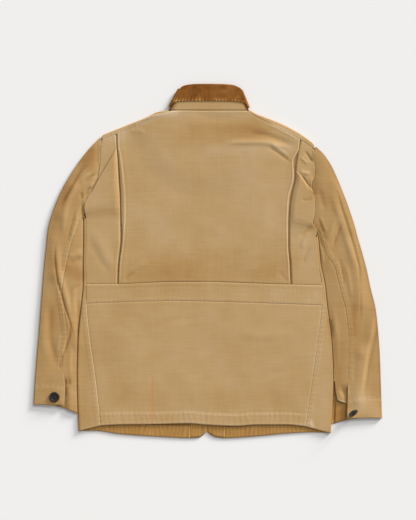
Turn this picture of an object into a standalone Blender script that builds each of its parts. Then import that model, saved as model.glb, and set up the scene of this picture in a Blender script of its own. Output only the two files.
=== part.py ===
"""Hunting jacket in cotton canvas with a corduroy collar, laid out flat with its back up.

Metres, +Z up, +Y towards the collar, +X to the wearer's right.  The fronts lie on the ground,
wrap round the sides and over the shoulders, and meet the back panels there.
The tables are in millimetres: x from the middle of the back, down from the top of the collar.
"""
import math

import bmesh
import bpy
import numpy as np
from mathutils import Matrix, Vector

MM = 0.001
TOP = 407.0 * MM            # from the middle of the jacket's length up to the collar roll
ACROSS = 0.6 * MM           # puts the middle of the whole width on x = 0
CANVAS = 1.2 * MM           # wall of the outer cloth
LINING = 1.0 * MM           # wall of facings and turned-up hems
CORDUROY = 1.4 * MM         # wall of the collar leaf
SEAM = 0.3 * MM             # clearance between pieces that are sewn together

FLOOR_PLY = 0.5 * CANVAS    # height of the middle of a panel that lies on the ground
EDGE_PLY = 5.0 * MM         # the same for the upper panels at the jacket's edge
BACK_PLY = 5.6 * MM         # and in the middle of the back
SLEEVE_PLY = 4.6 * MM       # and on top of a sleeve
NECK_LOW = 2.4 * MM         # fronts at the neck, over the collar's front ends
NECK_HIGH = 7.55 * MM       # back at the neck, level with the collar stand
NECK_MIDDLE = (0.0, 78.0)
NECK_RADII = (128.0, 190.0)
BACK_SWELL = (0.0, 420.0, 300.0, 390.0)    # x, down, half width, half length

PLEAT_TURN = 25.0 * MM      # cloth turned under at each pleat
PLEAT_DROP = 1.6 * MM
PLEAT_RISE = 0.2 * MM
LAP_PLY = 2.1 * MM          # side back where it runs in under the pleat
LAP = 20.0 * MM
SIDE_FOLD_RISE = 2.6 * MM   # side back lying folded over the armhole
SIDE_FOLD_RUN = 16.0 * MM
VENT_DROP = 1.1 * MM        # under sleeve beneath the buttoned edge
BUTTON_WIDTH = 23.5 * MM
BUTTON_THICKNESS = 3.2 * MM

CANVAS_TAN = (0.475, 0.310, 0.127, 1.0)
INSIDE_BROWN = (0.434, 0.219, 0.054, 1.0)
CORDUROY_BROWN = (0.254, 0.102, 0.023, 1.0)
HORN_BLACK = (0.022, 0.018, 0.016, 1.0)

# Each front, a row for each section from the hem up to the neck.  centre: down, on the front
# edge.  edge: outermost point of the fold, or the armhole.  seam: where it meets the back.
# fold: 1 where the panel wraps over onto the back, 0 along the armhole, less than 1 where it
# curls up from one to the other.
#             centre  edge_x edge_down seam_x seam_down fold
FRONT_LEFT = (
    (799.0, -297.0, 798.0, -246.0, 785.0, 1),
    (754.0, -299.0, 753.0, -250.0, 752.0, 1),
    (672.0, -301.0, 672.0, -259.0, 672.0, 1),
    (589.0, -299.0, 589.0, -271.0, 589.0, 1),
    (505.0, -291.0, 505.0, -279.0, 505.0, 1),
    (460.0, -287.0, 460.0, -279.0, 460.0, 1),
    (409.0, -287.0, 409.0, -281.0, 409.0, 1),
    (359.0, -286.0, 359.0, -280.0, 359.0, 1),
    (313.0, -286.0, 313.0, -280.0, 313.0, 1),
    (310.0, -286.0, 308.0, -278.0, 308.0, 0.70),
    (307.0, -285.5, 303.5, -277.0, 303.5, 0.35),
    (303.0, -282.6, 298.0, -282.6, 298.0, 0),
    (278.0, -268.0, 264.0, -268.0, 264.0, 0),
    (248.0, -256.0, 229.0, -256.0, 229.0, 0),
    (223.0, -250.0, 198.0, -250.0, 198.0, 0),
    (202.0, -247.0, 172.0, -247.0, 172.0, 0),
    (186.0, -246.0, 147.0, -246.0, 147.0, 0),
    (172.0, -244.6, 136.0, -244.6, 136.0, 0),
    (171.0, -244.4, 131.0, -236.0, 133.0, 0.35),
    (170.0, -244.0, 126.5, -237.0, 131.0, 0.70),
    (169.0, -242.5, 119.0, -240.0, 126.0, 1),
    (156.0, -213.0, 106.0, -208.5, 115.5, 1),
    (145.0, -175.0, 91.0, -171.0, 99.0, 1),
    (137.0, -141.0, 77.0, -137.0, 84.0, 1),
    (131.0, -116.0, 65.5, -112.0, 72.0, 1),
    (131.0, -93.1, 61.0, -88.3, 64.1, 1),
)
FRONT_RIGHT = (
    (799.0, 282.0, 803.0, 224.0, 787.0, 1),
    (754.0, 285.0, 754.0, 229.0, 753.0, 1),
    (672.0, 288.0, 672.0, 241.0, 672.0, 1),
    (589.0, 284.0, 589.0, 252.0, 589.0, 1),
    (509.0, 274.0, 509.0, 261.0, 509.0, 1),
    (462.0, 269.0, 462.0, 262.0, 463.0, 1),
    (412.0, 259.0, 412.0, 253.0, 412.0, 1),
    (377.0, 256.0, 377.0, 250.0, 377.0, 1),
    (354.0, 253.0, 354.0, 247.0, 354.0, 1),
    (351.0, 252.6, 349.5, 245.0, 349.5, 0.70),
    (348.0, 252.0, 345.5, 244.0, 345.5, 0.35),
    (343.0, 250.2, 340.0, 250.2, 340.0, 0),
    (317.0, 242.0, 315.0, 242.0, 315.0, 0),
    (285.0, 241.0, 279.0, 241.0, 279.0, 0),
    (255.0, 241.0, 244.0, 241.0, 244.0, 0),
    (230.0, 243.0, 215.0, 243.0, 215.0, 0),
    (209.0, 242.0, 190.0, 242.0, 190.0, 0),
    (191.0, 243.0, 166.0, 243.0, 166.0, 0),
    (178.0, 244.6, 158.0, 244.6, 158.0, 0),
    (177.0, 245.3, 153.0, 237.0, 155.5, 0.35),
    (175.5, 245.5, 148.0, 238.0, 153.0, 0.70),
    (174.0, 244.0, 140.5, 240.0, 147.0, 1),
    (160.0, 217.0, 118.0, 211.0, 127.5, 1),
    (147.0, 167.0, 91.0, 161.0, 101.5, 1),
    (139.0, 136.0, 79.0, 131.0, 86.0, 1),
    (133.0, 112.0, 70.0, 108.0, 74.0, 1),
    (131.0, 97.2, 61.3, 92.0, 63.8, 1),
)
FACING_DOWN = (131.0, 146.0, 172.0, 202.0, 223.0, 248.0, 278.0, 313.0, 409.0, 505.0, 672.0, 799.0)
FRONT_GAP = -2.0            # x of the line where the fronts meet
FACING_SHARE = 0.14         # width of the front facing, as a share of the hem
HEM_END_SHARE = 0.95        # where the turned-up hem stops, short of the side fold
HEM_DEPTH = 27.0
# Lower edge of each front: share of the way out from the front edge, x, down.
HEM_LEFT = ((0.0, -2.2, 799.0), (0.03, -9.0, 806.0), (0.07, -21.0, 812.5), (0.14, -41.0, 814.0),
            (0.37, -110.0, 811.0), (0.70, -207.0, 804.0), (0.87, -258.0, 797.0), (1.0, -294.2, 798.0))
HEM_RIGHT = ((0.0, -1.8, 799.0), (0.03, 7.0, 807.0), (0.07, 21.0, 812.5), (0.14, 39.0, 814.0),
             (0.38, 108.0, 810.0), (0.64, 179.0, 803.5), (0.85, 239.0, 800.5), (1.0, 279.3, 802.5))
NECKLINE_LEFT = ((0.0, -2.2, 131.0), (0.2, -18.0, 129.0), (0.45, -41.0, 121.0),
                 (0.8, -75.0, 90.0), (1.0, -90.4, 62.7))
NECKLINE_RIGHT = ((0.0, -1.8, 131.0), (0.2, 14.0, 129.0), (0.5, 46.0, 121.0),
                  (0.85, 82.0, 90.0), (1.0, 94.3, 62.7))

# Centre back: each pleat's fold from the shoulder down to the waistband, and the top edge.
#             left_x left_down right_x right_down
PLEATS = (
    (-208.5, 115.5, 211.0, 127.5),
    (-208.5, 144.0, 208.0, 152.0),
    (-206.0, 166.0, 196.0, 180.0),
    (-202.0, 221.0, 198.0, 215.0),
    (-200.0, 267.0, 187.0, 266.0),
    (-199.0, 310.0, 184.0, 324.0),
    (-197.0, 340.0, 184.0, 350.0),
    (-199.0, 373.0, 184.0, 373.0),
    (-204.0, 414.0, 187.0, 412.0),
    (-206.0, 460.0, 189.0, 461.0),
)
# Top edge of the centre back: share of the width, x, down.
BACK_TOP = ((0.0, -208.5, 115.5), (0.09, -171.0, 99.0), (0.171, -137.0, 84.0), (0.231, -112.0, 72.0),
            (0.287, -88.3, 64.1), (0.35, -62.0, 62.0), (0.426, -30.0, 62.0), (0.502, 2.0, 62.0),
            (0.578, 34.0, 62.0), (0.657, 67.0, 62.0), (0.718, 92.0, 63.8), (0.756, 108.0, 74.0),
            (0.811, 131.0, 86.0), (0.882, 161.0, 101.5), (1.0, 211.0, 127.5))

# Side backs, from the shoulder seam down: pleat fold (x, down), outer edge (x, down) and how far
# the panel lies raised over the armhole (0 to 1).
SIDE_LEFT = (
    (-208.5, 115.5, -240.0, 126.0, 0.0),
    (-208.5, 144.0, -247.0, 211.0, 0.0),
    (-208.0, 147.5, -248.5, 214.5, 1.0),
    (-206.0, 175.0, -259.0, 238.0, 1.0),
    (-203.0, 221.0, -276.0, 261.0, 1.0),
    (-200.0, 262.0, -284.0, 285.0, 1.0),
    (-199.0, 313.0, -280.0, 313.0, 0.0),
    (-199.0, 359.0, -280.0, 359.0, 0.0),
    (-204.0, 409.0, -281.0, 409.0, 0.0),
    (-206.0, 460.0, -279.0, 460.0, 0.0),
)
SIDE_RIGHT = (
    (211.0, 127.5, 240.0, 147.0, 0.0),
    (201.0, 186.0, 241.5, 233.0, 0.0),
    (200.5, 189.5, 241.5, 237.0, 1.0),
    (199.0, 216.0, 244.0, 260.0, 1.0),
    (191.0, 251.0, 244.0, 290.0, 1.0),
    (185.0, 294.0, 241.0, 319.0, 1.0),
    (184.0, 354.0, 247.0, 354.0, 0.0),
    (184.0, 377.0, 250.0, 377.0, 0.0),
    (187.0, 412.0, 253.0, 412.0, 0.0),
    (189.0, 461.0, 262.0, 463.0, 0.0),
)

# Waistband seams and back hem: share of the width, x, down.
WAIST_TOP = ((0.0, -279.0, 460.0), (0.135, -206.0, 460.0), (0.26, -138.0, 457.0), (0.39, -69.0, 455.0),
             (0.52, 0.0, 455.0), (0.70, 97.0, 458.0), (0.865, 189.0, 461.0), (1.0, 262.0, 463.0))
WAIST_LOW = ((0.0, -279.0, 505.0), (0.135, -206.0, 502.0), (0.26, -138.0, 500.0), (0.39, -69.0, 499.0),
             (0.52, 0.0, 500.0), (0.70, 97.0, 503.0), (0.865, 189.0, 506.0), (1.0, 261.0, 509.0))
BACK_HEM = ((0.0, -246.0, 785.0), (0.1, -199.0, 782.5), (0.26, -126.0, 782.0), (0.43, -44.0, 780.0),
            (0.52, -7.0, 783.0), (0.66, 65.0, 786.0), (0.77, 114.0, 783.0), (0.9, 180.0, 783.0),
            (1.0, 224.0, 787.0))

# Sleeves from the shoulder point to the cuff: outer fold, inner edge (armhole, then inner fold),
# back seam as a share of the way in from the outer fold, and 1 where the tube is closed.
#            outer_x outer_down inner_x inner_down back_seam closed
SLEEVE_LEFT = (
    (-249.0, 123.0, -245.2, 127.5, 1.00, 0),
    (-271.0, 147.0, -246.6, 147.0, 1.00, 0),
    (-298.0, 182.0, -247.3, 172.0, 1.00, 0),
    (-320.0, 216.0, -250.3, 198.0, 1.00, 0),
    (-339.0, 251.0, -256.3, 229.0, 1.00, 0),
    (-355.0, 290.0, -268.3, 264.0, 1.00, 0),
    (-367.0, 331.0, -288.5, 308.0, 0.92, 1),
    (-372.0, 375.0, -288.5, 359.0, 0.69, 1),
    (-377.0, 423.0, -289.5, 409.0, 0.58, 1),
    (-381.0, 474.0, -292.0, 469.0, 0.505, 1),
    (-385.0, 524.0, -297.0, 524.0, 0.62, 1),
    (-389.0, 577.0, -301.5, 582.0, 0.74, 1),
    (-394.0, 635.0, -303.0, 642.0, 0.64, 1),
    (-398.0, 688.0, -303.0, 699.0, 0.72, 1),
    (-401.0, 738.0, -301.0, 757.0, 0.70, 1),
)
SLEEVE_RIGHT = (
    (251.0, 144.5, 247.2, 149.5, 1.00, 0),
    (266.0, 162.0, 244.4, 166.0, 1.00, 0),
    (283.0, 187.0, 242.6, 190.0, 1.00, 0),
    (297.0, 217.0, 243.3, 215.0, 1.00, 0),
    (309.0, 246.0, 241.4, 244.0, 1.00, 0),
    (323.0, 283.0, 241.4, 279.0, 1.00, 0),
    (335.0, 319.0, 242.5, 315.0, 1.00, 0),
    (344.0, 352.0, 255.0, 350.0, 0.93, 1),
    (353.0, 383.0, 259.0, 386.0, 0.88, 1),
    (364.0, 423.0, 263.0, 430.0, 0.70, 1),
    (375.0, 474.0, 273.0, 476.0, 0.69, 1),
    (385.0, 515.0, 278.0, 522.0, 0.64, 1),
    (391.0, 568.0, 286.0, 572.0, 0.645, 1),
    (395.0, 623.0, 290.0, 626.0, 0.68, 1),
    (397.0, 681.0, 291.0, 681.0, 0.67, 1),
    (400.0, 769.0, 288.0, 782.0, 0.69, 1),
)
VENT_FROM_LEFT = 12.4       # row of the table where the cuff's vent opens
VENT_FROM_RIGHT = 14.1
VENT_LAP = 18.0 * MM        # under sleeve running in under the buttoned edge
CUFF_CLEAR = 7.0 * MM       # from the sleeve's folds to the ends of the turned-up cuff
# Columns of the under sleeve: share of the way from the inner fold to the back seam, angle round
# the inner fold, share of the way from the fold to the hidden seam.
UNDER_SLEEVE_COLUMNS = (("over", 1.0), ("over", 0.7), ("over", 0.35), ("fold", 90), ("fold", 54),
                        ("fold", 18), ("fold", -18), ("fold", -54), ("fold", -90), ("under", 0.5),
                        ("under", 1.0))
FRONT_SEAM = 0.70           # hidden seam of the sleeve's lower side, as a share of the way in

# Collar, round from the wearer's left front end over the back to the right one: roll and fall are
# its top line and the leaf's free edge; turn is the way the outer side faces, -90 down on the
# front and 90 up on the back.  Its lower line is the neck seam.
#            roll_x roll_down fall_x fall_down turn
COLLAR = (
    (-5.0, 115.0, -57.0, 175.0, -90),
    (-32.0, 85.0, -83.0, 131.0, -90),
    (-53.0, 46.0, -90.0, 85.0, -90),
    (-60.0, 15.5, -86.0, 54.5, -90),
    (-60.0, 15.5, -86.0, 54.5, 90),
    (-45.0, 5.0, -63.0, 41.0, 90),
    (-23.0, 2.6, -30.0, 40.0, 90),
    (2.0, 2.5, 2.0, 40.0, 90),
    (29.0, 3.0, 36.0, 40.0, 90),
    (55.0, 5.6, 66.0, 42.0, 90),
    (73.0, 17.5, 91.5, 56.0, 90),
    (73.0, 17.5, 91.5, 56.0, -90),
    (66.0, 46.0, 94.0, 85.0, -90),
    (42.0, 85.0, 86.0, 131.0, -90),
    (5.0, 115.0, 57.0, 175.0, -90),
)
COLLAR_FRONT = 3            # the last row that runs along a front's neckline
NECK_SEAM = ((-90.2, 61.6), (-62.0, 61.6), (-30.0, 61.6), (2.0, 61.6), (34.0, 61.6), (67.0, 61.6),
             (94.1, 61.6))
HEM_SHARES = (0.0, 0.03, 0.07, 0.14, 0.26, 0.38, 0.54, 0.70, 0.87, 1.0)
CURL_LIP = 0.6 * MM         # edge of a front past its curl, where it turns from armhole to fold
NECK_SHARES = (0.0, 0.08, 0.18, 0.3, 0.42, 0.54, 0.66, 0.78, 0.9, 1.0)
COLLAR_MIDDLE = 0.5 * (NECK_LOW + NECK_HIGH)
STAND_OUT = 0.5 * (NECK_HIGH - NECK_LOW)
LEAF_OUT = STAND_OUT + 0.5 * (CANVAS + CORDUROY) + SEAM
INNER_OUT = 1.0 * MM        # leaf where it has turned in over the roll, from the collar's middle

# Soft ridges (+) and troughs (-): from x, down to x, down, half width, height.
CREASES = (
    (-357.0, 360.0, -350.0, 440.0, 14.0, 1.3),
    (-350.0, 440.0, -302.0, 596.0, 13.0, 1.4),
    (-310.0, 240.0, -340.0, 300.0, 12.0, 1.2),
    (-339.0, 480.0, -352.0, 640.0, 22.0, -1.0),
    (292.0, 232.0, 330.0, 337.0, 14.0, 1.0),
    (330.0, 337.0, 350.0, 505.0, 14.0, 1.4),
    (385.0, 520.0, 353.0, 620.0, 13.0, 1.3),
    (353.0, 620.0, 344.0, 725.0, 13.0, 1.4),
    (368.0, 600.0, 372.0, 720.0, 18.0, -0.9),
    (308.0, 317.0, 284.0, 380.0, 12.0, -1.0),
    (5.0, 152.0, 143.0, 135.0, 16.0, 0.6),
    (135.0, 130.0, 176.0, 164.0, 12.0, -0.5),
    (-333.0, 665.0, -336.0, 750.0, 24.0, 0.6),
    (320.0, 700.0, 323.0, 765.0, 24.0, 0.6),
)

# Cuff buttons: x, down, height of the middle, lean in degrees and the way the long axis points.
BUTTONS = {
    "left": (-352.0, 719.0, 7.9, 0.0, 35.0),
    "right": (332.0, 755.0, 15.6, 56.0, 35.0),
}


def clear_scene():
    for thing in list(bpy.data.objects):
        bpy.data.objects.remove(thing, do_unlink=True)


def material(name, colour, roughness):
    """A plain finish of one colour."""
    finish = bpy.data.materials.new(name)
    finish.use_nodes = True
    shader = finish.node_tree.nodes["Principled BSDF"]
    shader.inputs["Base Color"].default_value = colour
    shader.inputs["Roughness"].default_value = roughness
    shader.inputs["Metallic"].default_value = 0.0
    finish.diffuse_color = colour
    return finish


def smooth(x):
    """0 below 0, 1 above 1, an even S between."""
    x = np.clip(x, 0.0, 1.0)
    return x * x * (3.0 - 2.0 * x)


def curve(knots, rows, where):
    """Values of a table's rows at the places asked for, through smooth steps that never overshoot."""
    knots = np.asarray(knots, float)
    rows = np.asarray(rows, float)
    where = np.clip(np.asarray(where, float), knots[0], knots[-1])
    gap = np.diff(knots)
    rise = np.diff(rows, axis=0) / gap[:, None]
    slope = np.zeros_like(rows)
    slope[0], slope[-1] = rise[0], rise[-1]
    for i in range(1, len(rows) - 1):
        before, after = 2 * gap[i] + gap[i - 1], gap[i] + 2 * gap[i - 1]
        level = rise[i - 1] * rise[i] <= 0
        safe = np.where(level, 1.0, rise[i - 1]), np.where(level, 1.0, rise[i])
        slope[i] = np.where(level, 0.0, (before + after) / (before / safe[0] + after / safe[1]))
    i = np.minimum(np.searchsorted(knots, where, side="right") - 1, len(gap) - 1)
    width = gap[i][:, None]
    t = (where - knots[i])[:, None] / width
    start, end = rows[i], rows[i + 1]
    return (start + (end - start) * t * t * (3 - 2 * t)
            + slope[i] * width * t * (1 - t) ** 2 - slope[i + 1] * width * t * t * (1 - t))


def by_row(table, where):
    """A table read by row number."""
    return curve(range(len(table)), table, where)


def by_share(table, where):
    """A table whose first column is the share of the way along."""
    table = np.asarray(table, float)
    return curve(table[:, 0], table[:, 1:], where)


def plan(points):
    """(x, down) in millimetres to (x, y) in metres."""
    points = np.asarray(points, float)
    return np.stack([points[..., 0] * MM + ACROSS, TOP - points[..., 1] * MM], axis=-1)


def neck_share(spot):
    """1 around the neck, 0 away from it."""
    middle = plan(NECK_MIDDLE)
    near, far = NECK_RADII
    reach = np.hypot(spot[..., 0] - middle[0], spot[..., 1] - middle[1]) / MM
    return 1.0 - smooth((reach - near) / (far - near))


def low(spot):
    """Height of the middle of the fronts."""
    return FLOOR_PLY + (NECK_LOW - FLOOR_PLY) * neck_share(spot)


def crease(spot):
    """Height that the soft ridges and troughs add."""
    height = np.zeros(spot.shape[:-1])
    for x0, down0, x1, down1, half_width, rise in CREASES:
        start, end = plan((x0, down0)), plan((x1, down1))
        run = end - start
        share = np.clip(((spot - start) @ run) / (run @ run), 0.0, 1.0)
        away = np.linalg.norm(spot - start - share[..., None] * run, axis=-1)
        height += rise * MM * np.exp(-(away / (half_width * MM)) ** 2)
    return height


def high(spot):
    """Height of the middle of the back panels."""
    x, down, half_width, half_length = BACK_SWELL
    middle = plan((x, down))
    out = ((spot[..., 0] - middle[0]) / half_width / MM) ** 4
    out = out + ((spot[..., 1] - middle[1]) / half_length / MM) ** 4
    back = EDGE_PLY + (BACK_PLY - EDGE_PLY) * smooth(1.0 - out)
    neck = neck_share(spot)
    return back + (NECK_HIGH - back) * neck + crease(spot) * (1.0 - neck)


def patch(left, right, top, bottom):
    """Points of a panel between its four edges, whose ends meet.  left and right run down the
    panel, top and bottom across it."""
    v = across_share(left, right)[:, None, None]
    u = across_share(top, bottom)[None, :, None]
    sides = (1 - u) * left[:, None] + u * right[:, None]
    ends = (1 - v) * top[None] + v * bottom[None]
    corners = ((1 - u) * (1 - v) * top[0] + u * (1 - v) * top[-1]
               + (1 - u) * v * bottom[0] + u * v * bottom[-1])
    return sides + ends - corners


def across_share(top, bottom):
    """How far across each column stands, from the lengths along the two ends."""
    share = 0.0
    for edge in (top, bottom):
        steps = np.linalg.norm(np.diff(edge, axis=0), axis=1)
        walked = np.concatenate([[0.0], np.cumsum(steps)])
        share = share + 0.5 * walked / walked[-1]
    return share


def unit(vector):
    return vector / np.maximum(np.linalg.norm(vector, axis=-1, keepdims=True), 1e-12)


def with_height(spot, height):
    return np.concatenate([spot, height[..., None]], axis=-1)


def turn_over(centre, outward, bottom, top, angles):
    """Points of a half-round fold from a lower panel up to an upper one."""
    middle, radius = 0.5 * (bottom + top), 0.5 * (top - bottom)
    points = []
    for angle in np.radians(angles):
        points.append(with_height(centre + outward * (radius * math.cos(angle))[..., None],
                                  middle + radius * math.sin(angle)))
    return np.stack(points, axis=1)


def inset(points, ends=(1, 1, 1, 1)):
    """Draws a panel's four sides (first row, last row, first column, last column) in by half of
    the seam clearance."""
    points = points.copy()
    for side, wanted in enumerate(ends):
        if wanted:
            view = points if side < 2 else points.swapaxes(0, 1)
            edge, inner = (0, 1) if side % 2 == 0 else (-1, -2)
            view[edge] += unit(view[inner] - view[edge]) * 0.5 * SEAM
    return points


def cloth(name, points, thickness, finish):
    """A sheet of cloth with a wall, its middle on the given rows of points."""
    rows, columns = points.shape[:2]
    shape = bmesh.new()
    bmesh.ops.create_grid(shape, x_segments=columns - 1, y_segments=rows - 1, size=1.0)
    for corner in shape.verts:
        column = round((corner.co.x + 1.0) * 0.5 * (columns - 1))
        row = round((corner.co.y + 1.0) * 0.5 * (rows - 1))
        corner.co = Vector(points[row, column])
    bmesh.ops.recalc_face_normals(shape, faces=shape.faces)
    mesh = bpy.data.meshes.new(name)
    shape.to_mesh(mesh)
    shape.free()
    mesh.materials.append(finish)
    mesh.shade_smooth()
    mesh.set_sharp_from_angle(angle=math.radians(50))
    thing = bpy.data.objects.new(name, mesh)
    jacket.objects.link(thing)
    wall = thing.modifiers.new("Wall", "SOLIDIFY")
    wall.thickness = thickness
    wall.offset = 0.0
    return thing


def curl(fold, radius, lip):
    """How far out and how high a sheet lies past the line where it starts to curl, for a curl that
    turns it by fold half-turns, and for the straight lip after it."""
    length = math.pi * radius
    bend = fold / radius
    out, up = [], []
    for share in (0.2, 0.4, 0.6, 0.8, 1.0):
        angle = bend * length * share
        flat = bend < 1e-6
        out.append(length * share if flat else math.sin(angle) / bend)
        up.append(0.0 if flat else (1.0 - math.cos(angle)) / bend)
    for share in (0.5, 1.0):
        out.append(out[4] + lip * share * math.cos(bend * length))
        up.append(up[4] + lip * share * math.sin(bend * length))
    return np.array(out), np.array(up)


def front(side, table, hem, neckline, finish):
    """A front: flat on the ground, round the fold at its edge, and in to its seam."""
    rows = by_row(table, np.arange(len(table)))
    start = plan(np.stack([np.full(len(rows), FRONT_GAP), rows[:, 0]], axis=1))
    edge, seam = plan(rows[:, 1:3]), plan(rows[:, 3:5])
    folded = rows[:, 5]
    inward = unit(np.where(folded[:, None] > 0, seam - edge, start - edge))
    radius = 0.5 * (high(edge) - low(edge))
    centre, over = [], []
    for i, fold in enumerate(folded):
        reach = np.max(curl(fold, radius[i], CURL_LIP)[0]) + 0.5 * CANVAS * fold
        middle = edge[i] + inward[i] * reach
        lip = np.linalg.norm(seam[i] - middle) if fold == 1 else CURL_LIP
        out, up = curl(fold, radius[i], lip)
        spots = middle - inward[i] * out[:, None]
        height = low(middle) + up
        if fold == 1:
            height[4:] = high(spots[4:])
        centre.append(middle)
        over.append(with_height(spots, height))
    centre = np.array(centre)
    bottom, top = plan(by_share(hem, HEM_SHARES)), plan(by_share(neckline, NECK_SHARES))
    bottom[0], top[0] = start[0], start[-1]
    bottom[-1], top[-1] = centre[0], centre[-1]
    flat = patch(start, centre, bottom, top)
    under = with_height(flat, low(flat))
    cloth("front_" + side, inset(np.concatenate([under, np.array(over)], axis=1)), CANVAS, finish)


def strip(name, left, right, top, bottom, lift, finish):
    """A narrow piece that lies on the inside of the fronts."""
    spots = patch(plan(left), plan(right), plan(top), plan(bottom))
    cloth(name, inset(with_height(spots, low(spots) + lift)), LINING, finish)


def front_inside(side, hem, neckline, neck_end, finish):
    """The facing behind the front edge and the turned-up hem beside it."""
    lift = 0.5 * (CANVAS + LINING) + SEAM
    low_edge = by_share(hem, np.linspace(0.0, FACING_SHARE, 5))
    high_edge = by_share(neckline, np.linspace(0.0, neck_end, 5))
    down = np.array(FACING_DOWN)
    rows = ((down - down[0]) / (down[-1] - down[0]))[:, None]
    inner = high_edge[0] + rows * (low_edge[0] - high_edge[0])
    outer = high_edge[-1] + rows * (low_edge[-1] - high_edge[-1])
    strip("front_facing_" + side, inner, outer, high_edge, low_edge, lift, finish)
    low_edge = by_share(hem, np.linspace(FACING_SHARE, HEM_END_SHARE, 10))
    up = np.array([0.0, -HEM_DEPTH])
    high_edge = low_edge + up
    rows = np.linspace(0.0, 1.0, 3)[:, None]
    inner, outer = low_edge[0] + up * (1 - rows), low_edge[-1] + up * (1 - rows)
    strip("front_hem_" + side, inner, outer, high_edge, low_edge, lift, finish)


def back_centre(finish):
    """The middle of the back, with both long edges folded and turned under as pleats."""
    rows = by_row(PLEATS, np.arange(len(PLEATS)))
    left, right = plan(rows[:, 0:2]), plan(rows[:, 2:4])
    shares = [row[0] for row in BACK_TOP]
    top = plan(by_share(BACK_TOP, shares))
    first, last = WAIST_TOP[1][0], WAIST_TOP[-2][0]
    bottom = plan(by_share(WAIST_TOP, first + np.array(shares) * (last - first)))
    left[-1], right[-1] = bottom[0], bottom[-1]
    spots = patch(left, right, top, bottom)
    height = high(spots) + PLEAT_RISE
    panel = with_height(spots, height)
    radius = 0.5 * PLEAT_DROP
    pieces = []
    for edge, inner in ((0, 1), (-1, -2)):
        inward = unit(spots[:, inner] - spots[:, edge])
        centre = spots[:, edge] + inward * (radius + 0.5 * CANVAS)
        ground = height[:, edge] - PLEAT_DROP
        arc = turn_over(centre, -inward, ground, ground + PLEAT_DROP, (-60, -20, 20, 60))
        panel[:, edge, :2] = centre
        turned = []
        for share in (1.0, 0.5, 0.0):
            spot = centre + inward * PLEAT_TURN * share
            turned.append(with_height(spot, high(spot) + PLEAT_RISE - PLEAT_DROP))
        pieces.append(np.concatenate([np.stack(turned, axis=1), arc], axis=1))
    pieces[1] = pieces[1][:, ::-1]
    cloth("back_centre", inset(np.concatenate([pieces[0], panel, pieces[1]], axis=1)), CANVAS, finish)


def back_side(side, table, finish):
    """The side of the back, in under the pleat and out to the armhole and side seam."""
    rows = by_row(table, np.arange(len(table)))
    fold, outer = plan(rows[:, 0:2]), plan(rows[:, 2:4])
    inward = unit(fold - outer)
    columns = [fold + inward * LAP]
    columns += [fold + (outer - fold) * share for share in (0.0, 0.12, 0.3, 0.55, 0.8, 1.0)]
    spots = np.stack(columns, axis=1)
    away = np.linalg.norm(spots - fold[:, None], axis=-1)
    away[:, 0] = 0.0
    raised = rows[:, 4][:, None] * smooth(away / SIDE_FOLD_RUN)
    upper = high(spots) + SIDE_FOLD_RISE * raised
    height = LAP_PLY + (upper - LAP_PLY) * smooth((away - SEAM) / LAP)
    cloth("back_side_" + side, inset(with_height(spots, height)), CANVAS, finish)


def across_panel(name, left, right, top, bottom, finish):
    """A panel of the back from side seam to side seam."""
    spots = patch(plan(left), plan(right), plan(top), plan(bottom))
    cloth(name, inset(with_height(spots, high(spots))), CANVAS, finish)


def lower_back(finish):
    shares = np.linspace(0.0, 1.0, 16)
    band_top, band_low = by_share(WAIST_TOP, shares), by_share(WAIST_LOW, shares)
    rows = np.linspace(0.0, 1.0, 3)[:, None]
    left = band_top[0] + rows * (band_low[0] - band_top[0])
    right = band_top[-1] + rows * (band_low[-1] - band_top[-1])
    across_panel("waistband", left, right, band_top, band_low, finish)
    stations = (4, 3, 2, 1, 0)
    left = by_row(FRONT_LEFT, stations)[:, 3:5]
    right = by_row(FRONT_RIGHT, stations)[:, 3:5]
    across_panel("back_lower", left, right, band_low, by_share(BACK_HEM, shares), finish)


def neck_line(where):
    """The neck seam at stations round the collar."""
    where = np.asarray(where, float)
    last = len(COLLAR) - 1
    lines = (by_share(NECKLINE_LEFT, where / COLLAR_FRONT), by_row(NECK_SEAM, where - COLLAR_FRONT - 1),
             by_share(NECKLINE_RIGHT, (last - where) / COLLAR_FRONT))
    part = np.where(where < COLLAR_FRONT, 0, np.where(where <= last - COLLAR_FRONT, 1, 2))
    return np.stack(lines)[part, np.arange(len(where))]


def collar_ring(where, shares, outs):
    """Points of the collar at stations round the neck.  shares: how far up from the seam or the
    leaf's edge to the roll; outs: distance from the collar's middle."""
    rows = by_row(COLLAR, where)
    seam, roll, fall = plan(neck_line(where)), plan(rows[:, 0:2]), plan(rows[:, 2:4])
    turn = np.radians(rows[:, 4])
    side = np.where(np.asarray(where) < 0.5 * (len(COLLAR) - 1), -1.0, 1.0)[:, None]
    line = unit(roll - seam)
    outward = np.stack([line[:, 1], -line[:, 0]], axis=-1) * side * np.cos(turn)[:, None]
    facing = np.concatenate([outward, np.sin(turn)[:, None]], axis=-1)
    points = []
    for (base, share), out in zip(shares, outs):
        start = seam if base == "seam" else fall
        spot = start + (roll - start) * share
        spot = with_height(spot, np.full(len(rows), COLLAR_MIDDLE))
        points.append(spot + facing * out)
    return np.stack(points, axis=1)


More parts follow.
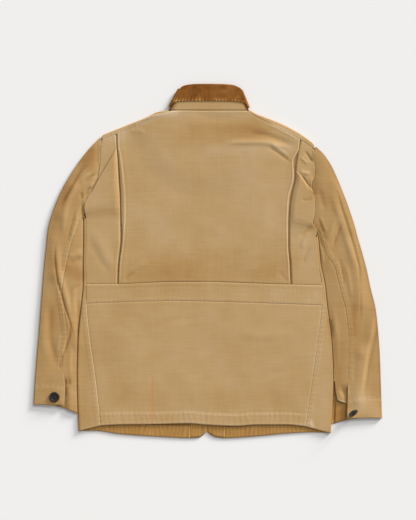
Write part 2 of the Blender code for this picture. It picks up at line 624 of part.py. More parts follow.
def collar(canvas, corduroy):
    """The stand, a ring of canvas, and the corduroy leaf folded over its top."""
    last = len(COLLAR) - 1
    left = [COLLAR_FRONT * share for share in NECK_SHARES] + [3.287, 3.433, 3.567, 3.713, 4.0, 4.5, 5, 6]
    where = left + [7.0] + [last - station for station in reversed(left)]
    stand = collar_ring(where, [("seam", 0.0), ("seam", 0.5), ("seam", 0.955)], [STAND_OUT] * 3)
    cloth("collar_stand", inset(stand), CANVAS, canvas)
    shares = [("fall", 0.0), ("fall", 0.35), ("fall", 0.7), ("fall", 1.0)]
    leaf = collar_ring(where, shares, [LEAF_OUT] * 4)
    inner = collar_ring(where, [("fall", 1.0)], [INNER_OUT])
    bend = 0.5 * (LEAF_OUT - INNER_OUT)
    up = unit(leaf[:, -1] - leaf[:, 0])
    middle = 0.5 * (leaf[:, -1] + inner[:, 0])
    facing = unit(leaf[:, -1] - inner[:, 0])
    roll = [middle + bend * (up * math.cos(angle) + facing * math.sin(angle))
            for angle in np.radians((54, 18, -18, -54))]
    sheet = np.concatenate([leaf, np.stack(roll, axis=1)], axis=1)
    cloth("collar_fall", inset(sheet), CORDUROY, corduroy)


def sleeve_lines(table, where):
    rows = by_row(table, where)
    return plan(rows[:, 0:2]), plan(rows[:, 2:4]), rows[:, 4:5], rows[:, 5]


def sleeve_high(spot):
    return SLEEVE_PLY + crease(spot)


def sleeve_stations(table, vent_from, first=None):
    """Rows of a sleeve's table at which both halves are cut, closer at the vent."""
    last = len(table) - 1
    opened = int(np.argmax([row[5] for row in table]))
    start = opened if first is None else first
    where = list(np.arange(start, opened)) + list(np.arange(opened, vent_from - 0.2, 0.5))
    where += [vent_from, vent_from + 0.15, vent_from + 0.3]
    where += list(np.linspace(vent_from + 0.3, last, 5)[1:])
    return np.array(where), opened


def hidden_share(back, where, opened):
    """Where the sleeve's lower seam runs, as a share of the way in."""
    where = where[:, None]
    return np.where(where < opened, 1.0, np.where(where == opened, back, FRONT_SEAM))


def sleeve_top(side, table, vent_from, finish):
    """The outer half of a sleeve, from the back seam round the outer fold to the hidden seam."""
    where, opened = sleeve_stations(table, vent_from, 0)
    outer, inner, back, _ = sleeve_lines(table, where)
    back = np.where(where[:, None] < opened, 1.0, back)
    under = hidden_share(back, where, opened)
    inward = unit(inner - outer)
    radius = 0.5 * (SLEEVE_PLY - FLOOR_PLY)
    centre = outer + inward * (radius + 0.5 * CANVAS)
    floor, crown = np.full(len(where), FLOOR_PLY), np.full(len(where), SLEEVE_PLY)
    columns = []
    for share in (0.0, 0.25, 0.5, 0.75):
        spot = centre + (outer + (inner - outer) * back - centre) * (1 - share)
        columns.append(with_height(spot, sleeve_high(spot)))
    columns.append(with_height(centre, crown))
    arc = turn_over(centre, -inward, floor, crown, (54, 18, -18, -54))
    ground = []
    for share in (0.0, 0.33, 0.67, 1.0):
        spot = centre + (outer + (inner - outer) * under - centre) * share
        ground.append(with_height(spot, floor))
    sheet = np.concatenate([np.stack(columns, axis=1), arc, np.stack(ground, axis=1)], axis=1)
    cloth("sleeve_top_" + side, inset(sheet), CANVAS, finish)


def sleeve_under(side, table, vent_from, cut_back, finish):
    """The inner half of a sleeve.  At the cuff it runs in under the buttoned edge, and its upper
    side stops short of the cuff by cut_back rows."""
    base, opened = sleeve_stations(table, vent_from)
    last = len(table) - 1
    radius = 0.5 * (SLEEVE_PLY - FLOOR_PLY)
    floor, crown = np.full(len(base), FLOOR_PLY), np.full(len(base), SLEEVE_PLY)
    columns = []
    for kind, value in UNDER_SLEEVE_COLUMNS:
        upper = kind == "over" or (kind == "fold" and value > 0)
        end = vent_from + 0.3
        late = np.clip((base - end) / (last - end), 0.0, 1.0)
        where = base - late * (cut_back if upper else 0.0)
        outer, inner, back, _ = sleeve_lines(table, where)
        outward = unit(inner - outer)
        centre = inner - outward * (radius + 0.5 * CANVAS)
        if kind == "over":
            dropped = smooth((where - vent_from) / 0.15)
            lapped = smooth((where - vent_from - 0.15) / 0.15)
            seam = outer + (inner - outer) * back - outward * (lapped * VENT_LAP)[:, None]
            spot = centre + (seam - centre) * value
            tucked = dropped * smooth((value - 0.3) / 0.35)
            height = sleeve_high(spot) * (1 - dropped) + (SLEEVE_PLY - VENT_DROP * tucked) * dropped
            columns.append(with_height(spot, height))
        elif kind == "fold":
            columns.append(turn_over(centre, outward, floor, crown, (value,))[:, 0])
        else:
            seam = outer + (inner - outer) * hidden_share(back, base, opened)
            spot = centre + (seam - centre) * value
            columns.append(with_height(spot, floor))
    cloth("sleeve_under_" + side, inset(np.stack(columns, axis=1)), CANVAS, finish)


def cuff_facing(side, table, finish):
    """The turned-up end of the sleeve, lying on the inside of its lower side."""
    last = len(table) - 1
    outer, inner, _, _ = sleeve_lines(table, (last - 0.6, last - 0.3, last))
    inward = unit(inner - outer)
    start, end = outer + inward * CUFF_CLEAR, inner - inward * CUFF_CLEAR
    spots = np.stack([start + (end - start) * share for share in np.linspace(0.0, 1.0, 7)], axis=1)
    height = np.full(spots.shape[:-1], CANVAS + SEAM + 0.5 * LINING)
    cloth("cuff_facing_" + side, inset(with_height(spots, height)), LINING, finish)


def button(side, finish):
    """A round button turned with a raised rim, a sunk face and four thread holes."""
    x, down, height, lean, heading = BUTTONS[side]
    radius, half = 0.5 * BUTTON_WIDTH, 0.5 * BUTTON_THICKNESS
    profile = ((0.0, half - 1.1 * MM), (radius * 0.55, half - 1.1 * MM), (radius * 0.72, half - 0.2 * MM),
               (radius * 0.86, half), (radius, half - 1.2 * MM), (radius * 0.9, -half), (0.0, -half))
    mesh = bpy.data.meshes.new("button profile")
    points = [(across, 0.0, up) for across, up in profile]
    mesh.from_pydata(points, [(i, i + 1) for i in range(len(points) - 1)], [])
    blank = bpy.data.objects.new("button blank", mesh)
    jacket.objects.link(blank)
    turning = blank.modifiers.new("Turned", "SCREW")
    turning.steps = turning.render_steps = 20
    turning.use_merge_vertices = True
    turning.merge_threshold = 0.00001
    for number in range(4):
        angle = math.radians(45 + 90 * number)
        bpy.ops.mesh.primitive_cylinder_add(
            vertices=8, radius=1.1 * MM, depth=10 * MM,
            location=(2.6 * MM * math.cos(angle), 2.6 * MM * math.sin(angle), 0.0))
        drill = bpy.context.object
        drill.name = "thread hole %s %d" % (side, number)
        drill.hide_render = True
        drill.display_type = "WIRE"
        for group in list(drill.users_collection):
            group.objects.unlink(drill)
        cutters.objects.link(drill)
        hole = blank.modifiers.new("Hole", "BOOLEAN")
        hole.object = drill
    bpy.context.view_layer.update()
    solid = blank.evaluated_get(bpy.context.evaluated_depsgraph_get())
    done = bpy.data.meshes.new_from_object(solid)
    bpy.data.objects.remove(blank, do_unlink=True)
    done.materials.clear()
    done.materials.append(finish)
    done.shade_smooth()
    done.set_sharp_from_angle(angle=math.radians(40))
    thing = bpy.data.objects.new("cuff_button_" + side, done)
    spot = plan((x, down))
    axis = Vector((math.cos(math.radians(heading)), math.sin(math.radians(heading)), 0.0))
    thing.matrix_world = (Matrix.Translation((spot[0], spot[1], height * MM))
                          @ Matrix.Rotation(math.radians(lean), 4, axis))
    jacket.objects.link(thing)


clear_scene()
jacket = bpy.data.collections.new("Hunting jacket")
cutters = bpy.data.collections.new("Cutters")
bpy.context.scene.collection.children.link(jacket)
bpy.context.scene.collection.children.link(cutters)

canvas = material("Tan canvas", CANVAS_TAN, 0.9)
inside = material("Brown inside", INSIDE_BROWN, 0.9)
corduroy = material("Brown corduroy", CORDUROY_BROWN, 0.85)
horn = material("Dark horn", HORN_BLACK, 0.35)

front("left", FRONT_LEFT, HEM_LEFT, NECKLINE_LEFT, canvas)
front("right", FRONT_RIGHT, HEM_RIGHT, NECKLINE_RIGHT, canvas)
front_inside("left", HEM_LEFT, NECKLINE_LEFT, 0.45, inside)
front_inside("right", HEM_RIGHT, NECKLINE_RIGHT, 0.46, inside)
back_centre(canvas)
back_side("left", SIDE_LEFT, canvas)
back_side("right", SIDE_RIGHT, canvas)
lower_back(canvas)
collar(canvas, corduroy)
sleeve_top("left", SLEEVE_LEFT, VENT_FROM_LEFT, canvas)
sleeve_top("right", SLEEVE_RIGHT, VENT_FROM_RIGHT, canvas)
sleeve_under("left", SLEEVE_LEFT, VENT_FROM_LEFT, 0.0, canvas)
sleeve_under("right", SLEEVE_RIGHT, VENT_FROM_RIGHT, 0.3, canvas)
cuff_facing("left", SLEEVE_LEFT, inside)
cuff_facing("right", SLEEVE_RIGHT, inside)
button("left", horn)
button("right", horn)
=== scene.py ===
"""Hunting jacket in worn cotton duck with a corduroy collar, laid out flat with its back up.

Metres, +Z up, +Y towards the collar, +X to the wearer's right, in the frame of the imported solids.
Each piece of cloth is a thin shell on its solid's form, with the folds, seams and wear of the real
one.  The tables are in millimetres: x from the middle of the back, down from the top of the collar.
"""
import math

import bmesh
import bpy
import numpy as np
from mathutils import Matrix, Vector
from mathutils.bvhtree import BVHTree


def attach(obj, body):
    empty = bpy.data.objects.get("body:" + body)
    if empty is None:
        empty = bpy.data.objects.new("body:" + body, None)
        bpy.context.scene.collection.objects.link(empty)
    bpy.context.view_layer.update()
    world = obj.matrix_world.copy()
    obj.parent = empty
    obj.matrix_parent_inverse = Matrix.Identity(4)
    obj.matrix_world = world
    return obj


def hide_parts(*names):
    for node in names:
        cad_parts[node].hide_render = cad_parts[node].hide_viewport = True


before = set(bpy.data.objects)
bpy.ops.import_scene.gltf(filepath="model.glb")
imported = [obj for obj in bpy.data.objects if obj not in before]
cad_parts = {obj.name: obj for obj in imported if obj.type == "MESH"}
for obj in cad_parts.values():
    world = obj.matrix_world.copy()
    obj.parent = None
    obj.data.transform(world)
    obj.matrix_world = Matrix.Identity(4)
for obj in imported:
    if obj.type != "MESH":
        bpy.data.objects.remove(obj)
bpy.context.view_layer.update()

MM = 0.001
TOP = 407.0 * MM            # from the middle of the jacket's length up to the collar roll
ACROSS = 0.6 * MM           # puts the middle of the whole width on x = 0
CANVAS = 1.0 * MM           # wall of the outer cloth
LINING = 0.9 * MM           # wall of facings and turned-up hems
CORDUROY = 1.2 * MM         # wall of the collar leaf
SEAM = 0.12 * MM            # what stays open between pieces that are sewn together
BESIDE = 0.35 * MM          # and between the sleeves and the body that they lie against
STEP = 2.6 * MM             # rows and columns of the cloth that shows
ARC_COLUMNS = 8             # columns round the fold along a front's outer edge
LIP_COLUMNS = 17            # and from there in to its seam

# Heights of the middle of the cloth over the floor.
FLOOR_PLY = 0.6 * MM        # the plies that lie on it
EDGE_PLY = 5.0 * MM         # the back along its outline
BACK_PLY = 5.6 * MM         # and in its middle
SLEEVE_PLY = 4.6 * MM       # the sleeves' upper sides at their folds
NECK_LOW = 2.4 * MM         # the fronts at the neck
NECK_HIGH = 7.55 * MM       # and the back there
LAP_PLY = 2.1 * MM          # the side backs where they lie under the pleats
# The collar lifts the cloth round a place (x, down): fully within one radius, not beyond the other.
NECK_MIDDLE = (0, 78)
NECK_RADII = (128, 190)
BACK_SWELL = (0, 420, 300, 390)     # the back's middle (x, down), half width and half length

PLEAT_TURN = 25.0 * MM      # how much of the back is turned under along each pleat
PLEAT_DROP = 1.6 * MM       # from the back down to what is turned under
PLEAT_RISE = 0.2 * MM       # the middle of the back stands this much over its neighbours
LAP = 20.0 * MM             # how far a side back runs in under the pleat
SIDE_FOLD_RISE = 2.6 * MM   # it bulges this much over the sleeve
SIDE_FOLD_RUN = 16.0 * MM   # within this distance from the pleat
VENT_DROP = 1.1 * MM        # how far the cuff's lap lies below its flap
VENT_LAP = 18.0 * MM        # and how far it runs in under it
CUFF_DEPTH = 42             # from the cuff's edge up to its stitches, in millimetres
CUFF_CLEAR = 7.0 * MM       # between the cuff's facing and the sleeve's folds
HEM_DEPTH = 27              # of the turned-up hem, in millimetres
FACING_SHARE = 0.14         # of a front's hem is the foot of its facing
HEM_END_SHARE = 0.95        # where the turned-up hem ends
FRONT_GAP = -2              # where the two fronts meet (x)
CURL_LIP = 0.6 * MM         # straight cloth past a curled edge
SLEEVE_DOME = 2.2 * MM      # a sleeve's upper side stands this much higher along its middle
FULL_WIDTH = 60.0 * MM      # where it is at least this wide
BAND_RISE = 0.35 * MM       # waistband and hems, where the cloth is double

SLEEVE_TONE = -0.24         # the sleeves have faded less than the back
OUTER_FOLD_SHADE = {"left": 0.1, "right": -0.45}   # and painted shade and light along their outer folds: darker on the right, a little paler on the left
EDGE_SHADE = 0.75           # painted shade: the very edge of each fold is drawn browner where it turns over
EDGE_SHADE_WIDTH = 3.2 * MM      # of that painted shade on the fronts
UNDER_TONE = -0.15          # the hidden plies have faded less

BUTTON_WIDTH = 23.5 * MM
BUTTON_THICKNESS = 3.2 * MM
BUTTON_GAP = 0.3 * MM       # the buttons hang on their thread this far above the cloth
HOLE = 1.05 * MM            # half the width of each of the button's four holes
HOLE_SPREAD = 2.5 * MM      # and how far they stand from its middle, each way

# Fronts: front edge (down), outer edge (x, down), seam on the back (x, down), and how far the outer
# edge is folded round, in half turns.
FRONT_LEFT = (
    (799, -297, 798, -246, 785, 1), (754, -299, 753, -250, 752, 1), (672, -301, 672, -259, 672, 1),
    (589, -299, 589, -271, 589, 1), (505, -291, 505, -279, 505, 1), (460, -287, 460, -279, 460, 1),
    (409, -287, 409, -281, 409, 1), (359, -286, 359, -280, 359, 1), (313, -286, 313, -280, 313, 1),
    (310, -286, 308, -278, 308, 0.7), (307, -285.5, 303.5, -277, 303.5, 0.35),
    (303, -282.6, 298, -282.6, 298, 0), (278, -268, 264, -268, 264, 0), (248, -256, 229, -256, 229, 0),
    (223, -250, 198, -250, 198, 0), (202, -247, 172, -247, 172, 0), (186, -246, 147, -246, 147, 0),
    (172, -244.6, 136, -244.6, 136, 0), (171, -244.4, 129, -238.3, 130.4, 0.35),
    (170, -243.9, 125, -239, 128.4, 0.7), (169, -242.5, 119, -240, 126, 1),
    (156, -213, 106, -208.5, 115.5, 1), (145, -175, 91, -171, 99, 1), (137, -141, 77, -137, 84, 1),
    (131, -116, 65.5, -112, 72, 1), (131, -93.1, 61, -88.3, 64.1, 1),
)
FRONT_RIGHT = (
    (799, 282, 803, 224, 787, 1), (754, 285, 754, 229, 753, 1), (672, 288, 672, 241, 672, 1),
    (589, 284, 589, 252, 589, 1), (509, 274, 509, 261, 509, 1), (462, 269, 462, 262, 463, 1),
    (412, 259, 412, 253, 412, 1), (377, 256, 377, 250, 377, 1), (354, 253, 354, 247, 354, 1),
    (351, 252.6, 349.5, 245, 349.5, 0.7), (348, 252, 345.5, 244, 345.5, 0.35),
    (343, 250.2, 340, 250.2, 340, 0), (317, 240.6, 315, 240.6, 315, 0), (285, 241, 279, 241, 279, 0),
    (255, 241, 244, 241, 244, 0), (230, 243, 215, 243, 215, 0), (209, 242, 190, 242, 190, 0),
    (191, 243, 166, 243, 166, 0), (178, 244.6, 158, 244.6, 158, 0),
    (177, 245.2, 150.8, 238.3, 152.2, 0.35), (175.5, 245, 146.4, 239, 149.6, 0.7),
    (174, 244, 140.5, 240, 147, 1), (160, 217, 118, 211, 127.5, 1), (147, 167, 91, 161, 101.5, 1),
    (139, 136, 79, 131, 86, 1), (133, 112, 70, 108, 74, 1), (131, 97.2, 61.3, 92, 63.8, 1),
)
FACING_DOWN = (131, 146, 172, 202, 223, 248, 278, 313, 409, 505, 672, 799)
# Lines across: the share of the way along, then x and down.
HEM_LEFT = (
    (0, -2.2, 799), (0.03, -9, 806), (0.07, -21, 812.5), (0.14, -41, 814), (0.37, -110, 811),
    (0.7, -207, 804), (0.87, -258, 797), (1, -294.2, 798),
)
HEM_RIGHT = (
    (0, -1.8, 799), (0.03, 7, 807), (0.07, 21, 812.5), (0.14, 39, 814), (0.38, 108, 810),
    (0.64, 179, 803.5), (0.85, 239, 800.5), (1, 279.3, 802.5),
)
NECKLINE_LEFT = (
    (0, -2.2, 131), (0.2, -18, 129), (0.45, -41, 121), (0.8, -75, 90), (1, -90.4, 62.7),
)
NECKLINE_RIGHT = (
    (0, -1.8, 131), (0.2, 14, 129), (0.5, 46, 121), (0.85, 82, 90), (1, 94.3, 62.7),
)

# Centre back: each pleat's fold, then how far in from it the pressed crest runs.
#   left_x left_down right_x right_down left_crest right_crest
PLEATS = (
    (-208.5, 115.5, 211, 127.5, 1.5, 1.5), (-208.5, 144, 208, 152, 3, 1.5),
    (-206, 166, 196, 180, 4.5, 2.5), (-202, 221, 198, 215, 7.5, 3.5), (-200, 267, 187, 266, 9, 4),
    (-199, 310, 184, 324, 8, 3.5), (-197, 340, 184, 350, 3.5, 3), (-199, 373, 184, 373, 3, 2.5),
    (-204, 414, 187, 412, 2.5, 2.5), (-206, 460, 189, 461, 2, 2),
)
BACK_TOP = (
    (0, -208.5, 115.5), (0.09, -171, 99), (0.171, -137, 84), (0.231, -112, 72), (0.287, -88.3, 64.1),
    (0.35, -62, 62), (0.426, -30, 62), (0.502, 2, 62), (0.578, 34, 62), (0.657, 67, 62), (0.718, 92, 63.8),
    (0.756, 108, 74), (0.811, 131, 86), (0.882, 161, 101.5), (1, 211, 127.5),
)
# Side backs: pleat fold (x, down), outer edge (x, down), raised.
SIDE_LEFT = (
    (-208.5, 115.5, -240, 126, 0), (-208.5, 117.2, -243.2, 129, 0), (-208.5, 120, -243.6, 134.5, 0),
    (-208.5, 125, -246.1, 150, 0), (-208.5, 131, -246.8, 172, 0), (-208.5, 138, -249.8, 198, 0),
    (-208.5, 144, -254.6, 224, 0), (-208, 147.5, -256.4, 228.5, 1), (-206, 175, -263, 243, 1),
    (-203, 221, -276, 261, 1), (-200, 262, -284, 285, 1), (-199, 313, -280, 313, 0),
    (-199, 359, -280, 359, 0), (-204, 409, -281, 409, 0), (-206, 460, -279, 460, 0),
)
SIDE_RIGHT = (
    (211, 127.5, 240, 147, 0), (210.4, 130.5, 243.7, 150.4, 0), (209, 136, 243.8, 154.8, 0),
    (206, 150, 241.3, 167, 0), (203.5, 163, 245.8, 191, 0), (202.5, 172, 246.4, 206, 0),
    (201, 183, 239.2, 228, 0), (200.5, 194, 239.4, 243, 0), (200, 198, 240.6, 248, 1),
    (199, 216, 244.6, 264, 1), (191, 251, 244.4, 291, 1), (185, 294, 240.6, 319, 1),
    (184.3, 320, 246.4, 334, 0.4), (184.2, 329, 248.4, 338.6, 0.2), (184.1, 337, 249.9, 345.4, 0.1),
    (184.05, 344, 247.2, 349.6, 0.05), (184, 354, 247, 354, 0), (184, 377, 250, 377, 0),
    (187, 412, 253, 412, 0), (189, 461, 262, 463, 0),
)
WAIST_TOP = (
    (0, -279, 460), (0.135, -206, 460), (0.26, -138, 457), (0.39, -69, 455), (0.52, 0, 455),
    (0.7, 97, 458), (0.865, 189, 461), (1, 262, 463),
)
WAIST_LOW = (
    (0, -279, 505), (0.135, -206, 502), (0.26, -138, 500), (0.39, -69, 499), (0.52, 0, 500),
    (0.7, 97, 503), (0.865, 189, 506), (1, 261, 509),
)
BACK_HEM = (
    (0, -246, 785), (0.1, -199, 782.5), (0.26, -126, 782), (0.43, -44, 780), (0.52, -7, 783),
    (0.66, 65, 786), (0.77, 114, 783), (0.9, 180, 783), (1, 224, 787),
)

# Sleeves: outer fold (x, down), inner edge (x, down), back seam's share of the way in, and 1 where
# the inner edge is clear of the armhole.
SLEEVE_LEFT = (
    (-247.2, 122.4, -244.9, 126.6, 1, 0), (-271, 147, -246.6, 147, 1, 0), (-298, 182, -247.3, 172, 1, 0),
    (-320, 216, -250.3, 198, 1, 0), (-339, 251, -256.3, 229, 1, 0), (-355, 290, -268.3, 264, 1, 0),
    (-367, 331, -288.5, 308, 0.92, 1), (-372, 375, -288.5, 359, 0.69, 1),
    (-377, 423, -289.5, 409, 0.58, 1), (-381, 474, -292, 469, 0.505, 1), (-385, 524, -297, 524, 0.62, 1),
    (-389, 577, -301.5, 582, 0.74, 1), (-394, 635, -303, 642, 0.64, 1), (-398, 688, -303, 699, 0.72, 1),
    (-401, 738, -301, 757, 0.7, 1),
)
SLEEVE_RIGHT = (
    (248, 143.8, 246.2, 148.2, 1, 0), (266, 162, 241.8, 167, 1, 0), (283, 187, 246.3, 191, 1, 0),
    (297, 217, 246.9, 206, 1, 0), (309, 246, 239.8, 230, 1, 0), (323, 283, 241.4, 279, 1, 0),
    (335, 319, 241.2, 315, 1, 0), (344, 352, 255, 350, 0.93, 1), (353, 383, 259, 386, 0.88, 1),
    (364, 423, 263, 430, 0.7, 1), (375, 474, 273, 476, 0.69, 1), (385, 515, 278, 522, 0.64, 1),
    (391, 568, 286, 572, 0.645, 1), (395, 623, 290, 626, 0.68, 1), (397, 681, 291, 681, 0.7, 1),
    (400, 769, 288, 782, 0.7, 1),
)
# Where a sleeve's upper side reaches in under the back: middle and half length in rows, millimetres.
SLEEVE_TUCKS = {"left": ((0.5, 0.42, 3.4),), "right": ((0.45, 0.38, 2.2), (6.44, 0.36, 6))}
VENT_FROM = {"left": 12.4, "right": 14.1}   # the row at which the cuff's vent starts
VENT_RUN = {"left": 0.60, "right": 0.25}    # rows over which the lap under the flap sinks
# How far short of the cuff the under sleeve's top stops, in rows: at the vent, near the inner fold
# and along that fold.
VENT_CUT = {"left": (0, 0, 0), "right": (0.31, 0.53, 0.98)}
# The cuff's edge curves up between its corners: both plies, and the upper ply more, in millimetres.
CUFF_CURVE = {"left": (7.4, 4.5), "right": (6.2, 2.5)}
# The buttoned flap stands up from the sleeve: middle (x, down), half width, height.
FLAP_LIFT = {"left": (-331, 735, 13, 2), "right": (320, 764, 14, 3)}
FRONT_SEAM = 0.70           # the hidden seam's share of the way in

# Collar, round the neck from front edge to front edge: roll (x, down), the leaf's edge (x, down) and
# which way it faces, in degrees: 90 up, -90 down.
COLLAR = (
    (-5, 115, -57, 175, -90), (-32, 85, -83, 131, -90), (-53, 46, -90, 85, -90),
    (-67, 18.5, -86, 54.5, -90), (-64.5, 12.5, -87.5, 54, 90), (-58, 7.5, -75, 43, 90),
    (-45, 4.2, -60, 40.8, 90), (-23, 2.6, -30, 40, 90), (2, 2.5, 2, 40, 90), (29, 3, 36, 40, 90),
    (55, 4.6, 66, 41.5, 90), (68, 8.5, 84, 45, 90), (76, 14.5, 92.5, 56, 90), (75.5, 20.5, 91.5, 56, -90),
    (66, 46, 94, 85, -90), (42, 85, 86, 131, -90), (5, 115, 57, 175, -90),
)
COLLAR_FRONT = 3            # rows of it that lie along the fronts' necklines
STAND_TURN = (0.9, 1.4)     # row after the front part, and rows, where the stand turns over
NECK_SEAM = (
    (-90.2, 61.8), (-76, 61.8), (-60, 61.8), (-30, 61.8), (2, 61.8), (34, 61.8), (66, 61.8), (82, 61.8),
    (94.1, 61.8),
)
# The collar's middle height, then how far out from it the stand and the leaf's two plies lie.
COLLAR_MIDDLE = 0.5 * (NECK_LOW + NECK_HIGH)
STAND_OUT = 0.5 * (NECK_HIGH - NECK_LOW)
LEAF_OUT = STAND_OUT + 0.5 * (CANVAS + CORDUROY) + SEAM
INNER_OUT = 1.0 * MM
LEAF_SHARES = (0.0, 0.02, 0.06, 0.12, 0.2, 0.32, 0.46, 0.6, 0.74, 0.88, 1.0)
STAND_SHARES = (0.0, 0.06, 0.14, 0.3, 0.5, 0.7, 0.85, 0.955)
WALE = 3.0 * MM             # from one corduroy ridge to the next
WALE_HEIGHT = 0.45 * MM
STATIONS_PER_WALE = 5       # columns of the leaf's mesh to each ridge

# Main folds, as soft ridges (+) and troughs (-): from x, down to x, down, half width, height.
CREASES = (
    (-357, 360, -350, 440, 14, 1.3), (-350, 440, -302, 596, 13, 1.4), (-310, 240, -340, 300, 12, 1.2),
    (-339, 480, -352, 640, 22, -1), (292, 232, 330, 337, 14, 1), (330, 337, 350, 505, 14, 1.4),
    (385, 520, 353, 620, 13, 1.3), (353, 620, 344, 725, 13, 1.4), (368, 600, 372, 720, 18, -0.9),
    (308, 317, 284, 380, 12, -1), (5, 152, 143, 135, 16, 0.6), (135, 130, 176, 164, 12, -0.5),
    (-333, 665, -336, 750, 24, 0.6), (320, 700, 323, 765, 24, 0.6),
)
# Folds of the back: half width, rise, shade (+ paler, painted light and wear on a crest; - darker,
# painted shade in a trough), the line (x, down) that each runs along, and where its left side is
# narrower, that side's share of the width.
BODY_FOLDS = (
    (5.5, 1.5, 0.45, ((25, 139), (77, 135), (108, 135), (135, 136), (161, 143), (200, 152))),
    (7, -1.5, -0.45, ((83, 115), (119, 116), (161, 128), (202, 144))),
    (3.2, -0.9, -0.7, ((133, 144), (150, 152), (168, 164), (194, 185))),
    (4.5, 1.2, 0.35, ((143, 137), (163, 151), (189, 170))),
    (3.5, 0.8, 0.35, ((129, 89), (161, 103), (209, 128))),
    (3.5, 1.2, 0.55, ((-161, 87), (-133, 77), (-109, 72), (-76, 64))),
    (2.6, -1, -0.55, ((-143, 75), (-122, 69), (-101, 65))),
    (9, -0.8, -0.15, ((-30, 74), (16, 80), (74, 78))),
    (4, 0.7, 0.2, ((-184, 108), (-156, 108), (-143, 120))),
    (2.8, 1.4, 0.55, ((245, 148), (243, 159), (240, 177))),
    (2.8, -1.4, -0.7, ((220, 153), (230, 166), (236, 175), (244, 182))),
    (3.4, 1, 0.25, ((212, 166), (221, 177), (232, 186))),
    (4, 1.3, 0.4, ((209, 201), (223, 205), (236, 207))),
    (2.8, -1.8, -0.8, ((213, 209), (224, 224), (236, 245))),
    (4, 0.9, 0.3, ((237, 212), (238, 225), (240, 239))),
    (3.5, -0.9, -0.45, ((241, 261), (225, 268), (212, 266))),
    (4.5, -1.3, -0.4, ((239, 323), (225, 338), (209, 354))),
    (5, 0.9, 0.2, ((237, 340), (221, 359), (214, 382))),
    (4.5, -0.8, -0.25, ((237, 375), (223, 396), (216, 419))),
    (3.4, -0.9, -0.45, ((-168, 430), (-182, 442), (-194, 454))),
    (7, 0.8, 0.1, ((-133, 409), (-166, 423), (-189, 442))),
    (5, -0.6, -0.15, ((156, 430), (172, 442), (182, 455))),
    (10, 0.6, 0.15, ((-267, 327), (-239, 386), (-212, 432))),
    (7, -0.5, -0.15, ((-276, 350), (-251, 400), (-221, 442))),
    (8, -0.5, 0, ((-133, 566), (-87, 547), (-18, 538))),
    (12, 0.5, 0, ((51, 566), (124, 580), (212, 566))),
    (10, -0.5, 0, ((108, 681), (166, 662), (223, 649))),
)
